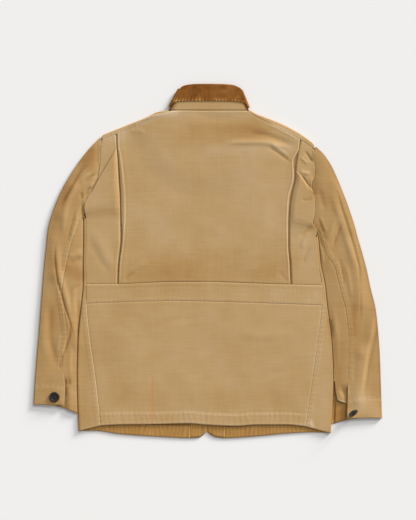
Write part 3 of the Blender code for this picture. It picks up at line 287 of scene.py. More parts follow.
# Folds of the sleeves, in the same way, with the bunching under the side of the back.
SLEEVE_FOLDS = (
    (3, 0.7, 0.5, ((-243, 125), (-246, 147), (-247, 170), (-249, 193))),
    (4, -0.6, -0.25, ((-252, 129), (-254, 156), (-256, 193))),
    (5, -2, -0.95, ((-271, 182), (-292, 202), (-305, 223), (-318, 247), (-331, 270), (-340, 290)), 0.6),
    (6.5, 1.6, 0.3, ((-281, 212), (-304, 239), (-321, 267), (-329, 297), (-332, 329), (-334, 361))),
    (3.2, 1.3, 0.45, ((-253, 209), (-264, 223), (-274, 243))),
    (2.8, -1.4, -0.6, ((-259, 205), (-271, 216), (-285, 230))),
    (3, 1.2, 0.35, ((-267, 204), (-283, 214), (-294, 230))),
    (2.8, -1.4, -0.7, ((-263, 236), (-276, 246), (-280, 260))),
    (2.8, -1.5, -1, ((-291, 248), (-289, 267))),
    (3.4, 1.3, 0.35, ((-282, 260), (-282, 283), (-281, 299))),
    (2.6, -1.6, -1, ((-289, 267), (-288, 290), (-286, 310), (-283, 322))),
    (2.2, -1.2, -0.8, ((-279, 298), (-282, 317))),
    (4, 0.9, 0.2, ((-297, 278), (-304, 317), (-317, 366))),
    (3, -0.8, -0.25, ((-304, 285), (-315, 327), (-325, 373))),
    (3, -1.8, -0.95, ((-350, 350), (-351, 393), (-349, 421), (-345, 451), (-338, 476), (-327, 515),
      (-318, 543), (-306, 584), (-301, 598)), 0.45),
    (6, 1.6, 0.3, ((-344, 359), (-344, 396), (-342, 423), (-337, 451), (-329, 476), (-319, 513),
      (-309, 543))),
    (5.5, -1.2, -0.5, ((-288, 397), (-304, 406), (-321, 415))),
    (5.5, 1, 0.2, ((-288, 383), (-304, 392), (-322, 401))),
    (3, -0.7, -0.35, ((-290, 458), (-308, 469), (-327, 488))),
    (3.4, -1.2, -0.7, ((-298, 488), (-298, 543), (-301, 593))),
    (4.5, 1, 0.15, ((-304, 462), (-309, 497), (-305, 538))),
    (3, -1.4, -0.95, ((-317, 547), (-317, 573), (-323, 596), (-330, 626))),
    (7.5, -1.3, -0.42, ((-359, 488), (-362, 538), (-362, 580), (-352, 632), (-340, 660))),
    (9, 1, 0.15, ((-376, 497), (-379, 577), (-373, 639))),
    (4.5, 0.9, 0.25, ((-338, 566), (-344, 600), (-347, 626))),
    (3.2, -1.2, -0.75, ((-335, 616), (-339, 639), (-341, 658))),
    (4, 0.8, 0.2, ((-313, 600), (-317, 639), (-315, 676))),
    (3.2, -1.5, -0.65, ((283, 225), (294, 244), (308, 287), (324, 337), (341, 397), (348, 430),
      (350, 485)), 0.6),
    (6.5, 1.4, 0.25, ((274, 235), (288, 267), (301, 306), (316, 354), (331, 402), (339, 439))),
    (3, -1.3, -0.55, ((308, 315), (297, 345), (285, 379))),
    (5, 0.9, 0.2, ((297, 299), (285, 331), (274, 366))),
    (2.6, -1, -0.55, ((252, 305), (260, 327), (268, 350), (276, 368))),
    (2.6, 0.9, 0.3, ((256, 300), (264, 322), (274, 345))),
    (2.6, -0.8, -0.45, ((250, 327), (256, 350), (262, 382))),
    (2.8, 0.8, 0.25, ((254, 359), (261, 386), (266, 419))),
    (2.2, -0.6, -0.35, ((350, 469), (350, 506), (350, 550))),
    (5, 1, 0.4, ((385, 518), (376, 566), (362, 630), (352, 699), (346, 731))),
    (4, -0.8, -0.3, ((393, 524), (385, 570), (371, 635), (361, 695), (356, 731))),
    (5.5, 0.8, 0.15, ((283, 497), (291, 543), (297, 600), (299, 658))),
    (5, -1, -0.45, ((278, 538), (286, 577))), (3.4, -0.8, -0.35, ((299, 393), (307, 428), (313, 469))),
    (4.5, 0.9, 0.2, ((315, 409), (324, 451), (330, 497))),
    (6, -0.9, -0.25, ((253, 235), (262, 267), (269, 299))),
)
# Folds of the hidden plies underneath, which only rise.
UNDER_FOLDS = (
    (15, 1.3, 0.2, ((-150, 190), (-120, 300), (-135, 430), (-110, 560))),
    (13, 1.1, 0.2, ((-70, 210), (-90, 380), (-62, 520))),
    (16, 1.2, 0.2, ((140, 200), (120, 330), (138, 470), (105, 610))),
    (13, 1.1, 0.2, ((78, 240), (95, 390), (70, 560))),
    (18, 1.2, 0.2, ((-240, 560), (-170, 640), (-90, 700))),
    (18, 1.1, 0.2, ((235, 590), (160, 660), (80, 715))),
    (14, 1.2, 0.2, ((-345, 360), (-325, 430), (-345, 520), (-330, 610))),
    (12, 1, 0.2, ((-300, 260), (-322, 320), (-350, 360))),
    (14, 1.2, 0.2, ((300, 300), (318, 400), (308, 500), (330, 600))),
    (12, 1, 0.2, ((350, 430), (345, 520), (365, 620))),
)

# Fading (+, paler) and unfaded or stained cloth (-, browner), with two strokes of painted shade: down the
# left cuff's vent and in the pocket where the right sleeve meets the body.  From x, down to x, down, half
# width, share.
TONES = (
    (-25, 108, 130, 108, 28, -0.34), (90, 104, 120, 110, 16, -0.14), (-150, 424, 165, 428, 44, -0.3),
    (-130, 440, 150, 442, 18, -0.1), (-160, 88, -70, 64, 7, 0.45), (-243, 124, -200, 112, 18, 0.35),
    (-236, 150, -190, 122, 20, 0.2), (-90, 70, 90, 70, 14, 0.26), (135, 80, 212, 120, 11, 0.22),
    (0, 152, 190, 150, 12, 0.25), (-120, 160, -105, 330, 45, 0.14), (70, 190, 160, 300, 60, 0.1),
    (-252, 230, -230, 400, 30, 0.14), (-215, 250, -212, 440, 12, -0.12), (216, 160, 226, 330, 24, -0.1),
    (226, 340, 240, 440, 24, 0.15), (-272, 150, -282, 178, 15, -0.42), (-262, 160, -270, 196, 11, -0.25),
    (-322, 235, -350, 310, 12, -0.22), (-362, 340, -378, 560, 24, -0.1), (-355, 400, -352, 440, 7, -0.15),
    (-322, 424, -296, 440, 15, -0.35), (-345, 500, -318, 640, 18, -0.12),
    # (-326, 680) to (-326, 714) is painted shade in the left cuff's vent.
    (-345, 640, -355, 730, 40, -0.14), (-326, 680, -326, 714, 2.6, -0.8), (258, 330, 266, 420, 14, -0.22),
    (244, 200, 246, 250, 7, -0.3), (300, 180, 330, 300, 16, 0.1), (335, 515, 336, 575, 9, -0.26),
    (340, 480, 330, 640, 14, -0.1), (290, 200, 300, 270, 26, -0.14), (360, 738, 392, 748, 24, 0.32),
    # (280, 545) to (286, 578) is painted shade in the pocket beside the right sleeve.
    (345, 700, 352, 745, 13, 0.25), (300, 600, 305, 700, 16, -0.18), (280, 545, 286, 578, 5, -0.55),
    (-284, 589, -283, 770, 22, -0.22), (262, 560, 272, 780, 24, 0.15), (-230, 560, -215, 730, 26, -0.1),
    (-190, 722, 190, 728, 22, -0.14), (-250, 482, -150, 480, 20, 0.05), (150, 478, 250, 486, 20, 0.16),
    (236, 776, 240, 786, 5, 0.8),
)
# Where the ends of the corduroy's ridges have worn to the ground, in the same columns.
COLLAR_WEAR = (
    (-72, 41, -12, 40, 6.5, 1), (-8, 40, 18, 40, 6, 0.35), (24, 40, 36, 40, 6, 0.9),
    (58, 41, 76, 44, 6, 0.8),
)
WEAR_PITCH = 7.0 * MM       # only every second or third ridge has worn through
# A rust-coloured mark down the lower back to the hem: x, the down where it starts, half width.
MARK = (-127.5, 668, 2.2)

# Cuff buttons: x, down, lean in degrees and the way the long axis points.
BUTTONS = {"left": (-352, 719, 0, 35), "right": (332, 755, 56, 35)}
# A pleat's pressed crest: half width and height in mm, and how pale it has worn.
CREST_LEFT = (1.5, 0.35, 0.9)
CREST_RIGHT = (1.3, 0.45, 0.6)
SLOT_SHADE = -0.20           # painted shade in a pleat's slot, where the tucked cloth is also browner
NECK_TUCK = 1.4 * MM        # how far the back runs up inside the stand
NECK_TUCK_DEPTH = 2.6 * MM  # and how far below its top

SEAM_REACH = 22 * MM        # how far from a seam its welt and puckers are looked for
WELT_RISE = 0.25 * MM       # the turnings inside a seam lift one side of it
PUCKER_PITCH = 11 * MM      # from one pucker along a seam to the next
SHADE = 0.55                # how strongly the folds' painted shade and light, with their wear, show
FOLD_RISE = 0.85            # of the tables' heights: worn cloth lies a little flatter
FOLD_ENDS = 0.3             # share of a fold's length over which each end dies away
# The slow swell of worn cloth, and its clouds of fading: size across, amount, number of the draw.
SWELLS = ((70 * MM, 0.35 * MM, 3), (24 * MM, 0.16 * MM, 8))
CLOUDS = ((120 * MM, 0.10, 21), (40 * MM, 0.05, 22))

PHOTO_WIDTH = 956.8 * MM    # of ground across the picture
PHOTO_MIDDLE = (0, 404.8)   # the spot (x, down) that the camera stands over
CAMERA_HEIGHT = 3.2         # metres
# Two broad lamps over the upper right of the jacket: power, then breadth, height and bearing in degrees.
LAMPS = {"key": (1.25, 22, 40, 50), "low": (4.6, 15, 14, 46)}
ROOM_LIGHT = 0.40           # strength of the even light all round


def smooth(x):
    """0 below 0, 1 above 1, an even S between."""
    x = np.clip(x, 0.0, 1.0)
    return x * x * (3.0 - 2.0 * x)


def bell(x):
    """1 at 0, dying away evenly on both sides."""
    return np.exp(-x ** 2)


def apart(a, b):
    """How far spots lie from each other."""
    return np.linalg.norm(a - b, axis=-1)


def curve(knots, rows, where):
    """Values of a table's rows at the places asked for, through smooth steps that never overshoot."""
    knots = np.asarray(knots, float)
    rows = np.asarray(rows, float)
    where = np.clip(np.asarray(where, float), knots[0], knots[-1])
    gap = np.diff(knots)
    rise = np.diff(rows, axis=0) / gap[:, None]
    slope = np.zeros_like(rows)
    slope[0], slope[-1] = rise[0], rise[-1]
    for i in range(1, len(rows) - 1):
        before, after = 2 * gap[i] + gap[i - 1], gap[i] + 2 * gap[i - 1]
        level = rise[i - 1] * rise[i] <= 0
        safe = np.where(level, 1.0, rise[i - 1]), np.where(level, 1.0, rise[i])
        slope[i] = np.where(level, 0.0, (before + after) / (before / safe[0] + after / safe[1]))
    i = np.minimum(np.searchsorted(knots, where, side="right") - 1, len(gap) - 1)
    width = gap[i][:, None]
    t = (where - knots[i])[:, None] / width
    start, end = rows[i], rows[i + 1]
    return (start + (end - start) * t * t * (3 - 2 * t)
            + slope[i] * width * t * (1 - t) ** 2 - slope[i + 1] * width * t * t * (1 - t))


def by_row(table, where):
    """A table read by row number."""
    return curve(range(len(table)), table, where)


def by_share(table, where):
    """A table whose first column is the share of the way along."""
    table = np.asarray(table, float)
    return curve(table[:, 0], table[:, 1:], where)


def plan(points):
    """(x, down) in millimetres to (x, y) in metres."""
    points = np.asarray(points, float)
    return np.stack([points[..., 0] * MM + ACROSS, TOP - points[..., 1] * MM], axis=-1)


def finely(table, columns, step=STEP):
    """Row numbers down a table, at most step apart on the cloth.  columns: where its points start."""
    rows = np.asarray(table, float)
    where = [0.0]
    for i in range(len(rows) - 1):
        length = max(np.hypot(*(rows[i + 1, c:c + 2] - rows[i, c:c + 2])) for c in columns) * MM
        count = max(2, math.ceil(length / step))
        where += list(i + np.arange(1, count + 1) / count)
    return np.array(where)


def shares(length, step=STEP, margin=(1.0, 2.5, 5.0, 8.5)):
    """Shares of the way across a panel, closer together along its two edges."""
    near = np.array((0.0,) + margin) * MM / length
    count = max(3, math.ceil(length * (1 - 2 * near[-1]) / step))
    return np.concatenate([near[:-1], np.linspace(near[-1], 1 - near[-1], count), 1 - near[-2::-1]])


def unit(vector):
    """The same direction, one long."""
    return vector / np.maximum(np.linalg.norm(vector, axis=-1, keepdims=True), 1e-12)


def with_height(spot, height):
    """(x, y) and a height as one point."""
    return np.concatenate([spot, height[..., None]], axis=-1)


def wander(spot, size, draw):
    """An even, unhurried rise and fall between -1 and 1, in swells about size across."""
    cells = 80
    lattice = np.random.default_rng(draw).uniform(-1.0, 1.0, (cells + 1, cells + 1))
    place = np.mod((spot + 1.0) / size, cells)
    corner = place.astype(int)
    part = smooth(place - corner)
    x, y = corner[..., 0], corner[..., 1]
    u, v = part[..., 0], part[..., 1]
    return ((lattice[x, y] * (1 - u) + lattice[x + 1, y] * u) * (1 - v)
            + (lattice[x, y + 1] * (1 - u) + lattice[x + 1, y + 1] * u) * v)


def strokes(spot, table):
    """Sum of soft strokes: each runs straight from a spot to another and dies away over its half
    width."""
    total = np.zeros(spot.shape[:-1])
    for x0, down0, x1, down1, half_width, amount in table:
        start, end = plan((x0, down0)), plan((x1, down1))
        run = end - start
        share = np.clip(((spot - start) @ run) / (run @ run), 0.0, 1.0)
        away = apart(spot - start, share[..., None] * run)
        total += amount * bell(away / (half_width * MM))
    return total


def walked_along(line):
    """How far along a line each of its points lies."""
    return np.concatenate([[0.0], np.cumsum(np.linalg.norm(np.diff(line, axis=0), axis=1))])


def beside(line, spot):
    """Signed distance of each spot from a line, + on its left, and how far along it lies."""
    best = np.full(spot.shape[:-1], 1e9)
    side, walked = np.zeros_like(best), np.zeros_like(best)
    for a, b, start in zip(line[:-1], line[1:], walked_along(line)):
        run = b - a
        length = math.hypot(*run)
        along = np.clip(((spot - a) @ run) / length ** 2, 0.0, 1.0)
        off = spot - a - along[..., None] * run
        away = np.hypot(off[..., 0], off[..., 1])
        nearer = away < best
        best = np.where(nearer, away, best)
        side = np.where(nearer, np.sign(run[0] * off[..., 1] - run[1] * off[..., 0]), side)
        walked = np.where(nearer, start + along * length, walked)
    return best * np.where(side == 0, 1.0, side), walked


def close_to(line, spot, reach):
    """Whether each spot may lie within reach of a line."""
    return np.all((spot > line.min(axis=0) - reach) & (spot < line.max(axis=0) + reach), axis=-1)


def folded(spot, folds):
    """What a table of folds adds: height, and its tone: partly how far the cloth has faded or kept its dye,
    partly painted shade in the troughs and painted light on the crests.
    """
    height, shade = np.zeros(spot.shape[:-1]), np.zeros(spot.shape[:-1])
    for half_width, rise, tint, points, *lean in folds:
        line = plan(by_row(points, np.linspace(0, len(points) - 1, 3 * len(points))))
        near = close_to(line, spot, 3 * half_width * MM)
        if near.any():
            away, walked = beside(line, spot[near])
            whole = walked_along(line)[-1]
            ends = smooth(np.minimum(walked, whole - walked) / (FOLD_ENDS * whole))
            width = half_width * MM * np.where(away > 0, *(lean or [1.0]), 1.0)
            form = ends * bell(away / width)
            height[near] += FOLD_RISE * rise * MM * form
            shade[near] += tint * form
    return height, shade


def neck_share(spot):
    """1 around the neck, 0 away from it."""
    near, far = NECK_RADII
    return 1.0 - smooth((apart(spot, plan(NECK_MIDDLE)) / MM - near) / (far - near))


def low(spot):
    """Height of the middle of the fronts, and of the sleeves' undersides."""
    return FLOOR_PLY + (NECK_LOW - FLOOR_PLY) * neck_share(spot) + folded(spot, UNDER_FOLDS)[0]


def high(spot):
    """Height of the middle of the back panels, without their smaller folds."""
    *middle, half_width, half_length = BACK_SWELL
    off = (spot - plan(middle)) / MM
    out = (off[..., 0] / half_width) ** 4 + (off[..., 1] / half_length) ** 4
    back = EDGE_PLY + (BACK_PLY - EDGE_PLY) * smooth(1.0 - out)
    neck = neck_share(spot)
    return back + (NECK_HIGH - back) * neck + strokes(spot, CREASES) * MM * (1.0 - neck)


def worn_lie(spot, folds):
    """Small folds, seams and the slow swell of worn cloth: height, and tone (+ faded), with the folds'
    painted shade and light.
    """
    height, shade = folded(spot, folds)
    seam, rubbed = sewn(spot)
    swell = sum(rise * wander(spot, size, draw) for size, rise, draw in SWELLS)
    cloud = sum(share * wander(spot, size, draw) for size, share, draw in CLOUDS)
    return height + seam + swell, SHADE * shade + rubbed + strokes(spot, TONES) + cloud


def across_share(top, bottom):
    """How far across each column stands, from the lengths along the two ends."""
    ways = [walked_along(edge) for edge in (top, bottom)]
    return sum(0.5 * way / way[-1] for way in ways)


def patch(left, right, top, bottom):
    """Points of a panel between its four edges, whose ends meet.  left and right run down the
    panel, top and bottom across it."""
    v = across_share(left, right)[:, None, None]
    u = across_share(top, bottom)[None, :, None]
    sides = (1 - u) * left[:, None] + u * right[:, None]
    ends = (1 - v) * top[None] + v * bottom[None]
    corners = ((1 - u) * (1 - v) * top[0] + u * (1 - v) * top[-1]
               + (1 - u) * v * bottom[0] + u * v * bottom[-1])
    return sides + ends - corners


def inset(points):
    """Draws a panel's four sides in by half of the seam clearance."""
    points = points.copy()
    for side in range(4):
        view = points if side < 2 else points.swapaxes(0, 1)
        edge, inner = (0, 1) if side % 2 == 0 else (-1, -2)
        view[edge] += unit(view[inner] - view[edge]) * 0.5 * SEAM
    return points


# ---- seams -------------------------------------------------------------------------------------

def cuff_lift(side, share, upper):
    """How far the cuff's edge curves up from the line between its corners, in millimetres."""
    both, more = CUFF_CURVE[side]
    bow = np.sin(math.pi * np.clip(share, 0, 1)) ** 0.8
    return both * bow + upper * more * smooth((share - 0.35) / 0.3)


def seam_lines():
    """Each seam's line, then its welt's side (1 is left of the way the line runs) and width in mm,
    the depth of the groove, the height of the puckers, how pale it has worn, its rows of stitches in
    mm from the seam, and the piece that they lie on."""
    def table_line(table, first, last):
        return plan(by_row(table, np.arange(first, last + 0.01, 0.25))[:, 3:5])

    def share_line(table, up=0.0, ends=(0.0, 1.0)):
        return plan(by_share(table, np.linspace(*ends, 50)) - np.array([0.0, up]))

    def sleeve_seam(table, first, last):
        found = by_row(table, np.arange(first, last + 0.01, 0.25))
        return plan(found[:, 0:2] + (found[:, 2:4] - found[:, 0:2]) * found[:, 4:5])

    def cuff_line(side, ends):
        outer, inner = np.reshape(SLEEVES[side][-1][:4], (2, 2))
        along = np.linspace(*ends, 20)
        up = CUFF_DEPTH + cuff_lift(side, along, 0)
        return plan(outer + (inner - outer) * along[:, None] - np.stack([0 * up, up], axis=1))

    neck = plan(by_row(NECK_SEAM, np.linspace(0.2, 7.8, 24)))
    single, double = (2.0,), (2.0, 8.0)
    return (
        (table_line(FRONT_LEFT, 0, 4), 1, 9, 0.5, 0.12, 0.30, double, "left_front"),
        (table_line(FRONT_RIGHT, 0, 4), -1, 9, 0.5, 0.12, 0.42, double, "right_front"),
        (share_line(WAIST_TOP), -1, 5, 0.4, 0.06, 0.10, single, "waist_band"),
        (share_line(WAIST_LOW), 1, 5, 0.4, 0.06, 0.22, single, "waist_band"),
        (share_line(BACK_HEM, HEM_DEPTH, (0.03, 0.97)), -1, 4, 0.35, 0.12, 0.3, (0.0,), "lower_back"),
        (share_line(BACK_HEM), 1, 3, 0.0, 0.0, 0.25, (), ""),
        (neck, -1, 4, 0.1, 0.06, 0.1, (), ""),
        (table_line(FRONT_LEFT, 20, 25), 1, 7, 0.3, 0.12, 0.2, single, "left_front"),
        (table_line(FRONT_RIGHT, 21, 26), -1, 8, 0.4, 0.16, 0.26, (2.0, 7.0), "right_front"),
        (sleeve_seam(SLEEVE_LEFT, 6, 12), -1, 9, 0.5, 0.14, 0.22, double, "left_top_sleeve"),
        (sleeve_seam(SLEEVE_RIGHT, 7, 14), 1, 9, 0.4, 0.12, 0.20, double, "right_top_sleeve"),
        (cuff_line("left", (0.06, 0.68)), 1, 4, 0.3, 0.12, 0.3, (0.0,), "left_top_sleeve"),
        (cuff_line("right", (0.04, 0.66)), -1, 4, 0.3, 0.12, 0.3, (0.0,), "right_top_sleeve"),
    )


def sewn(spot):
    """What the seams add: height, and how pale the cloth has worn beside them."""
    height, worn = np.zeros(spot.shape[:-1]), np.zeros(spot.shape[:-1])
    for line, side, width, groove, pucker, fade, _, _ in SEAMS:
        near = close_to(line, spot, SEAM_REACH)
        if near.any():
            away, walked = beside(line, spot[near])
            width = width * MM
            out = away * side
            welt = smooth((out + 0.5 * MM) / MM) * (1.0 - smooth((out - width) / (2.5 * MM)))
            waves = np.sin(math.tau * walked / PUCKER_PITCH + 2.5 * wander(spot[near], 30 * MM, 5))
            fall = bell((out - 0.5 * width) / (8 * MM))
            height[near] += (WELT_RISE * welt - groove * MM * bell(away / (1.3 * MM))
                             + pucker * MM * waves * fall)
            rim = bell((out - 1.2 * MM) / (1.7 * MM))
            worn[near] += fade * (rim + 0.2 * welt * (1.0 + waves * (pucker > 0)))
    return height, worn


# ---- cloth -------------------------------------------------------------------------------------

surfaces = {}


def dress(name, node, points, tone, cloth="canvas"):
    """A piece of cloth with a wall, on rows of points, standing for its solid."""
    finish, slot, wall = CLOTHS[cloth]
    rows, columns = points.shape[:2]
    number = np.arange(rows * columns).reshape(rows, columns)
    faces = np.stack([number[:-1, :-1], number[:-1, 1:], number[1:, 1:], number[1:, :-1]], axis=-1)
    faces = faces.reshape(-1, 4)
    corner = points.reshape(-1, 3)
    across, down = corner[faces[:, 1]] - corner[faces[:, 0]], corner[faces[:, 3]] - corner[faces[:, 0]]
    highest = np.argsort(corner[faces[:, 0], 2])[-len(faces) // 8:]
    if np.cross(across, down)[highest, 2].sum() < 0:
        faces = faces[:, ::-1]          # the outside of the cloth faces up where it lies on top
    mesh = bpy.data.meshes.new(name)
    mesh.from_pydata(corner.tolist(), [], faces.tolist())
    mesh.materials.append(finish)
    mesh.materials.append(inside_duck if finish == duck else finish)
    mesh.shade_smooth()
    shade = mesh.attributes.new("tone", "FLOAT", "POINT")
    shade.data.foreach_set("value", np.broadcast_to(tone, (rows, columns)).astype(np.float32).ravel())
    piece = link(name, mesh)
    shell = piece.modifiers.new("Wall", "SOLIDIFY")
    shell.thickness = wall
    shell.offset = 0.0
    shell.material_offset = 1
    surfaces[name] = (BVHTree.FromPolygons(corner.tolist(), faces.tolist()), 0.5 * wall)
    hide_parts(node)


def link(name, mesh):
    """Puts a mesh into the scene as a piece of the jacket."""
    piece = bpy.data.objects.new(name, mesh)
    bpy.context.scene.collection.objects.link(piece)
    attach(piece, "root")
    return piece


def curl(fold, radius, lip):
    """How far out and how high a sheet lies past the line where it starts to curl, for a curl that
    turns it by fold half-turns, and for the straight lip after it."""
    length = math.pi * radius
    bend = fold / radius
    along = np.linspace(0.0, 1.0, ARC_COLUMNS + 1)[1:]
    beyond = 1.0 - (1.0 - np.linspace(0.0, 1.0, LIP_COLUMNS + 1)[1:]) ** 1.6
    if bend < 1e-6:
        out, up = length * along, 0.0 * along
    else:
        out, up = np.sin(bend * length * along) / bend, (1.0 - np.cos(bend * length * along)) / bend
    turn = bend * length
    return (np.concatenate([out, out[-1] + lip * beyond * math.cos(turn)]),
            np.concatenate([up, up[-1] + lip * beyond * math.sin(turn)]))


def front(side, table, hem, neckline):
    """A front: flat on the ground, round the fold at its edge, and in to its seam."""
    rows = by_row(table, finely(table, (1, 3)))
    start = plan(np.stack([np.full(len(rows), FRONT_GAP), rows[:, 0]], axis=1))
    edge, seam = plan(rows[:, 1:3]), plan(rows[:, 3:5])
    turned = np.clip(rows[:, 5], 0.0, 1.0)
    ended = smooth((turned - 0.7) / 0.3)[:, None]
    inward = unit(np.where(turned[:, None] > 1e-6, seam - edge, start - edge))
    floor = low(edge)
    radius = 0.5 * (high(edge) + worn_lie(edge, BODY_FOLDS)[0] - floor)
    centre, spots, height = [], [], []
    for i, fold in enumerate(turned):
        reach = np.max(curl(fold, radius[i], CURL_LIP)[0]) + 0.5 * CANVAS * fold
        middle = edge[i] + inward[i] * reach
        lip = CURL_LIP + (apart(seam[i], middle) - CURL_LIP) * ended[i, 0]
        out, up = curl(fold, radius[i], lip)
        centre.append(middle)
        spots.append(middle - inward[i] * out[:, None])
        height.append(floor[i] + up)
    centre, spots, height = np.array(centre), np.array(spots), np.array(height)
    lie, tone = worn_lie(spots, BODY_FOLDS)
    upper = slice(ARC_COLUMNS - 1, None)
    height[:, upper] += ended * (high(spots) + lie - height)[:, upper]
    # Painted shade: the front is drawn darker along the edge of its fold.
    tone -= EDGE_SHADE * ended * bell(apart(spots, edge[:, None]) / EDGE_SHADE_WIDTH)
    across = np.concatenate([np.linspace(0, FACING_SHARE, 10), np.linspace(FACING_SHARE, 1, 24)[1:]])
    bottom, top = plan(by_share(hem, across)), plan(by_share(neckline, across))
    bottom[0], top[0] = start[0], start[-1]
    bottom[-1], top[-1] = centre[0], centre[-1]
    flat = patch(start, centre, bottom, top)
    points = np.concatenate([with_height(flat, low(flat)), with_height(spots, height)], axis=1)
    under_tone = folded(flat, UNDER_FOLDS)[1] + UNDER_TONE
    dress(side + "_front", "front_" + side, inset(points), np.concatenate([under_tone, tone], axis=1))


def strip(name, node, left, right, top, bottom):
    """A narrow piece that lies on the inside of the fronts, puckered along its sewing."""
    spots = patch(plan(left), plan(right), plan(top), plan(bottom))
    waves = np.sin(math.tau * spots[..., 0] / (9 * MM) + 3.0 * wander(spots, 20 * MM, 6))
    height = low(spots) + 0.5 * (CANVAS + LINING) + (0.5 + 0.12 * waves) * MM
    # Painted light and shade on the puckers: crests drawn paler, hollows darker.
    tone = 0.28 * waves + 0.15 * wander(spots, 14 * MM, 30)
    tone[[0, -1]] += 0.35
    tone[:, [0, -1]] += 0.45
    dress(name, node, inset(with_height(spots, height)), tone, "inside")


def front_inside(side, hem, neckline, neck_end):
    """The facing behind the front edge and the turned-up hem beside it."""
    low_edge = by_share(hem, np.linspace(0.0, FACING_SHARE, 16))
    high_edge = by_share(neckline, np.linspace(0.0, neck_end, 16))
    down = np.array([[0.0, down] for down in FACING_DOWN])
    down = by_row(down, finely(down, (0,), 2 * STEP))[:, 1:]
    rows = (down - down[0]) / (down[-1] - down[0])
    inner = high_edge[0] + rows * (low_edge[0] - high_edge[0])
    outer = high_edge[-1] + rows * (low_edge[-1] - high_edge[-1])
    strip(side + "_facing", "front_facing_" + side, inner, outer, high_edge, low_edge)
    low_edge = by_share(hem, np.linspace(FACING_SHARE, HEM_END_SHARE, 100))
    up = np.array([0.0, -HEM_DEPTH])
    rows = np.linspace(0.0, 1.0, 12)[:, None]
    inner, outer = low_edge[0] + up * (1 - rows), low_edge[-1] + up * (1 - rows)
    strip(side + "_front_hem", "front_hem_" + side, inner, outer, low_edge + up, low_edge)


def back_centre():
    """The middle of the back, with both long edges folded and turned under as pleats."""
    rows = by_row(PLEATS, finely(PLEATS, (0, 2)))
    left, right = plan(rows[:, 0:2]), plan(rows[:, 2:4])
    across = shares(0.41, STEP, (0.8, 1.8, 3, 4.2, 5.5, 6.8, 8.2, 9.6, 11, 12.5, 14))
    top = plan(by_share(BACK_TOP, across))
    first, last = WAIST_TOP[1][0], WAIST_TOP[-2][0]
    bottom = plan(by_share(WAIST_TOP, first + across * (last - first)))
    left[-1], right[-1] = bottom[0], bottom[-1]
    spots = patch(left, right, top, bottom)
    spots = np.insert(spots, 1, spots[0] - np.array([0.0, 0.5 * MM]), axis=0)
    rows = np.insert(rows, 1, rows[0], axis=0)
    lie, tone = worn_lie(spots, BODY_FOLDS)
    height = high(spots) + PLEAT_RISE + lie
    held = smooth((len(rows) - 1 - np.arange(len(rows))) / 6.0)[:, None]
    for edge, crest_at, (half_width, rise, pale) in ((0, rows[:, 4:5], CREST_LEFT),
                                                     (-1, rows[:, 5:6], CREST_RIGHT)):
        away = apart(spots, spots[:, edge][:, None]) / MM
        crest = bell((away - crest_at) / half_width)
        inner = bell((away - 0.36 * crest_at) / 1.1) * smooth((crest_at - 3.0) / 2.0)
        beyond = bell((away - crest_at - 4.5) / 1.6)
        slot = 1 - smooth((away - 0.3 * crest_at) / 1.5)
        puff = (1 - smooth((away - crest_at) / 18.0)) * smooth(away / 5.0)
        height += held * (rise * crest - 0.15 * inner - 0.2 * beyond + 0.4 * puff) * MM
        # Painted shade in the troughs beside the crest and in the slot; the crest itself is paler with
        # wear.
        tone += held * (pale * crest - 0.22 * inner - 0.15 * beyond + SLOT_SHADE * slot)
    tucked = smooth((90 * MM - np.abs(spots[0, :, 0] - 2 * MM)) / (6 * MM))
    spots[0, :, 1] += NECK_TUCK * tucked
    height[0] -= NECK_TUCK_DEPTH * tucked
    radius = 0.5 * PLEAT_DROP
    panel = with_height(spots, height)
    turnings = []
    for edge, inner in ((0, 1), (-1, -2)):
        inward = unit(spots[:, inner] - spots[:, edge])
        centre = spots[:, edge] + inward * (radius + 0.5 * CANVAS)
        panel[:, edge, :2] = centre
        for near, step in ((inner, 0.3 * MM), (2 * inner - edge, 0.8 * MM)):
            panel[:, near, :2] = centre + inward * step
        columns = []
        for share in (1.0, 0.6, 0.3, 0.0):
            columns.append(with_height(centre + inward * PLEAT_TURN * share, height[:, edge] - PLEAT_DROP))
        for angle in np.radians(range(-72, 73, 18)):
            columns.append(with_height(centre - inward * radius * math.cos(angle),
                                       height[:, edge] - radius + radius * math.sin(angle)))
        turnings.append(np.stack(columns, axis=1))
    points = np.concatenate([turnings[0], panel, turnings[1][:, ::-1]], axis=1)
    turned = turnings[0].shape[1]
    tone = np.pad(tone, ((0, 0), (turned, turned)), mode="edge")
    for hidden in (slice(None, turned - 3), slice(3 - turned, None)):
        tone[:, hidden] += 2 * UNDER_TONE
    dress("centre_back", "back_centre", inset(points), tone)


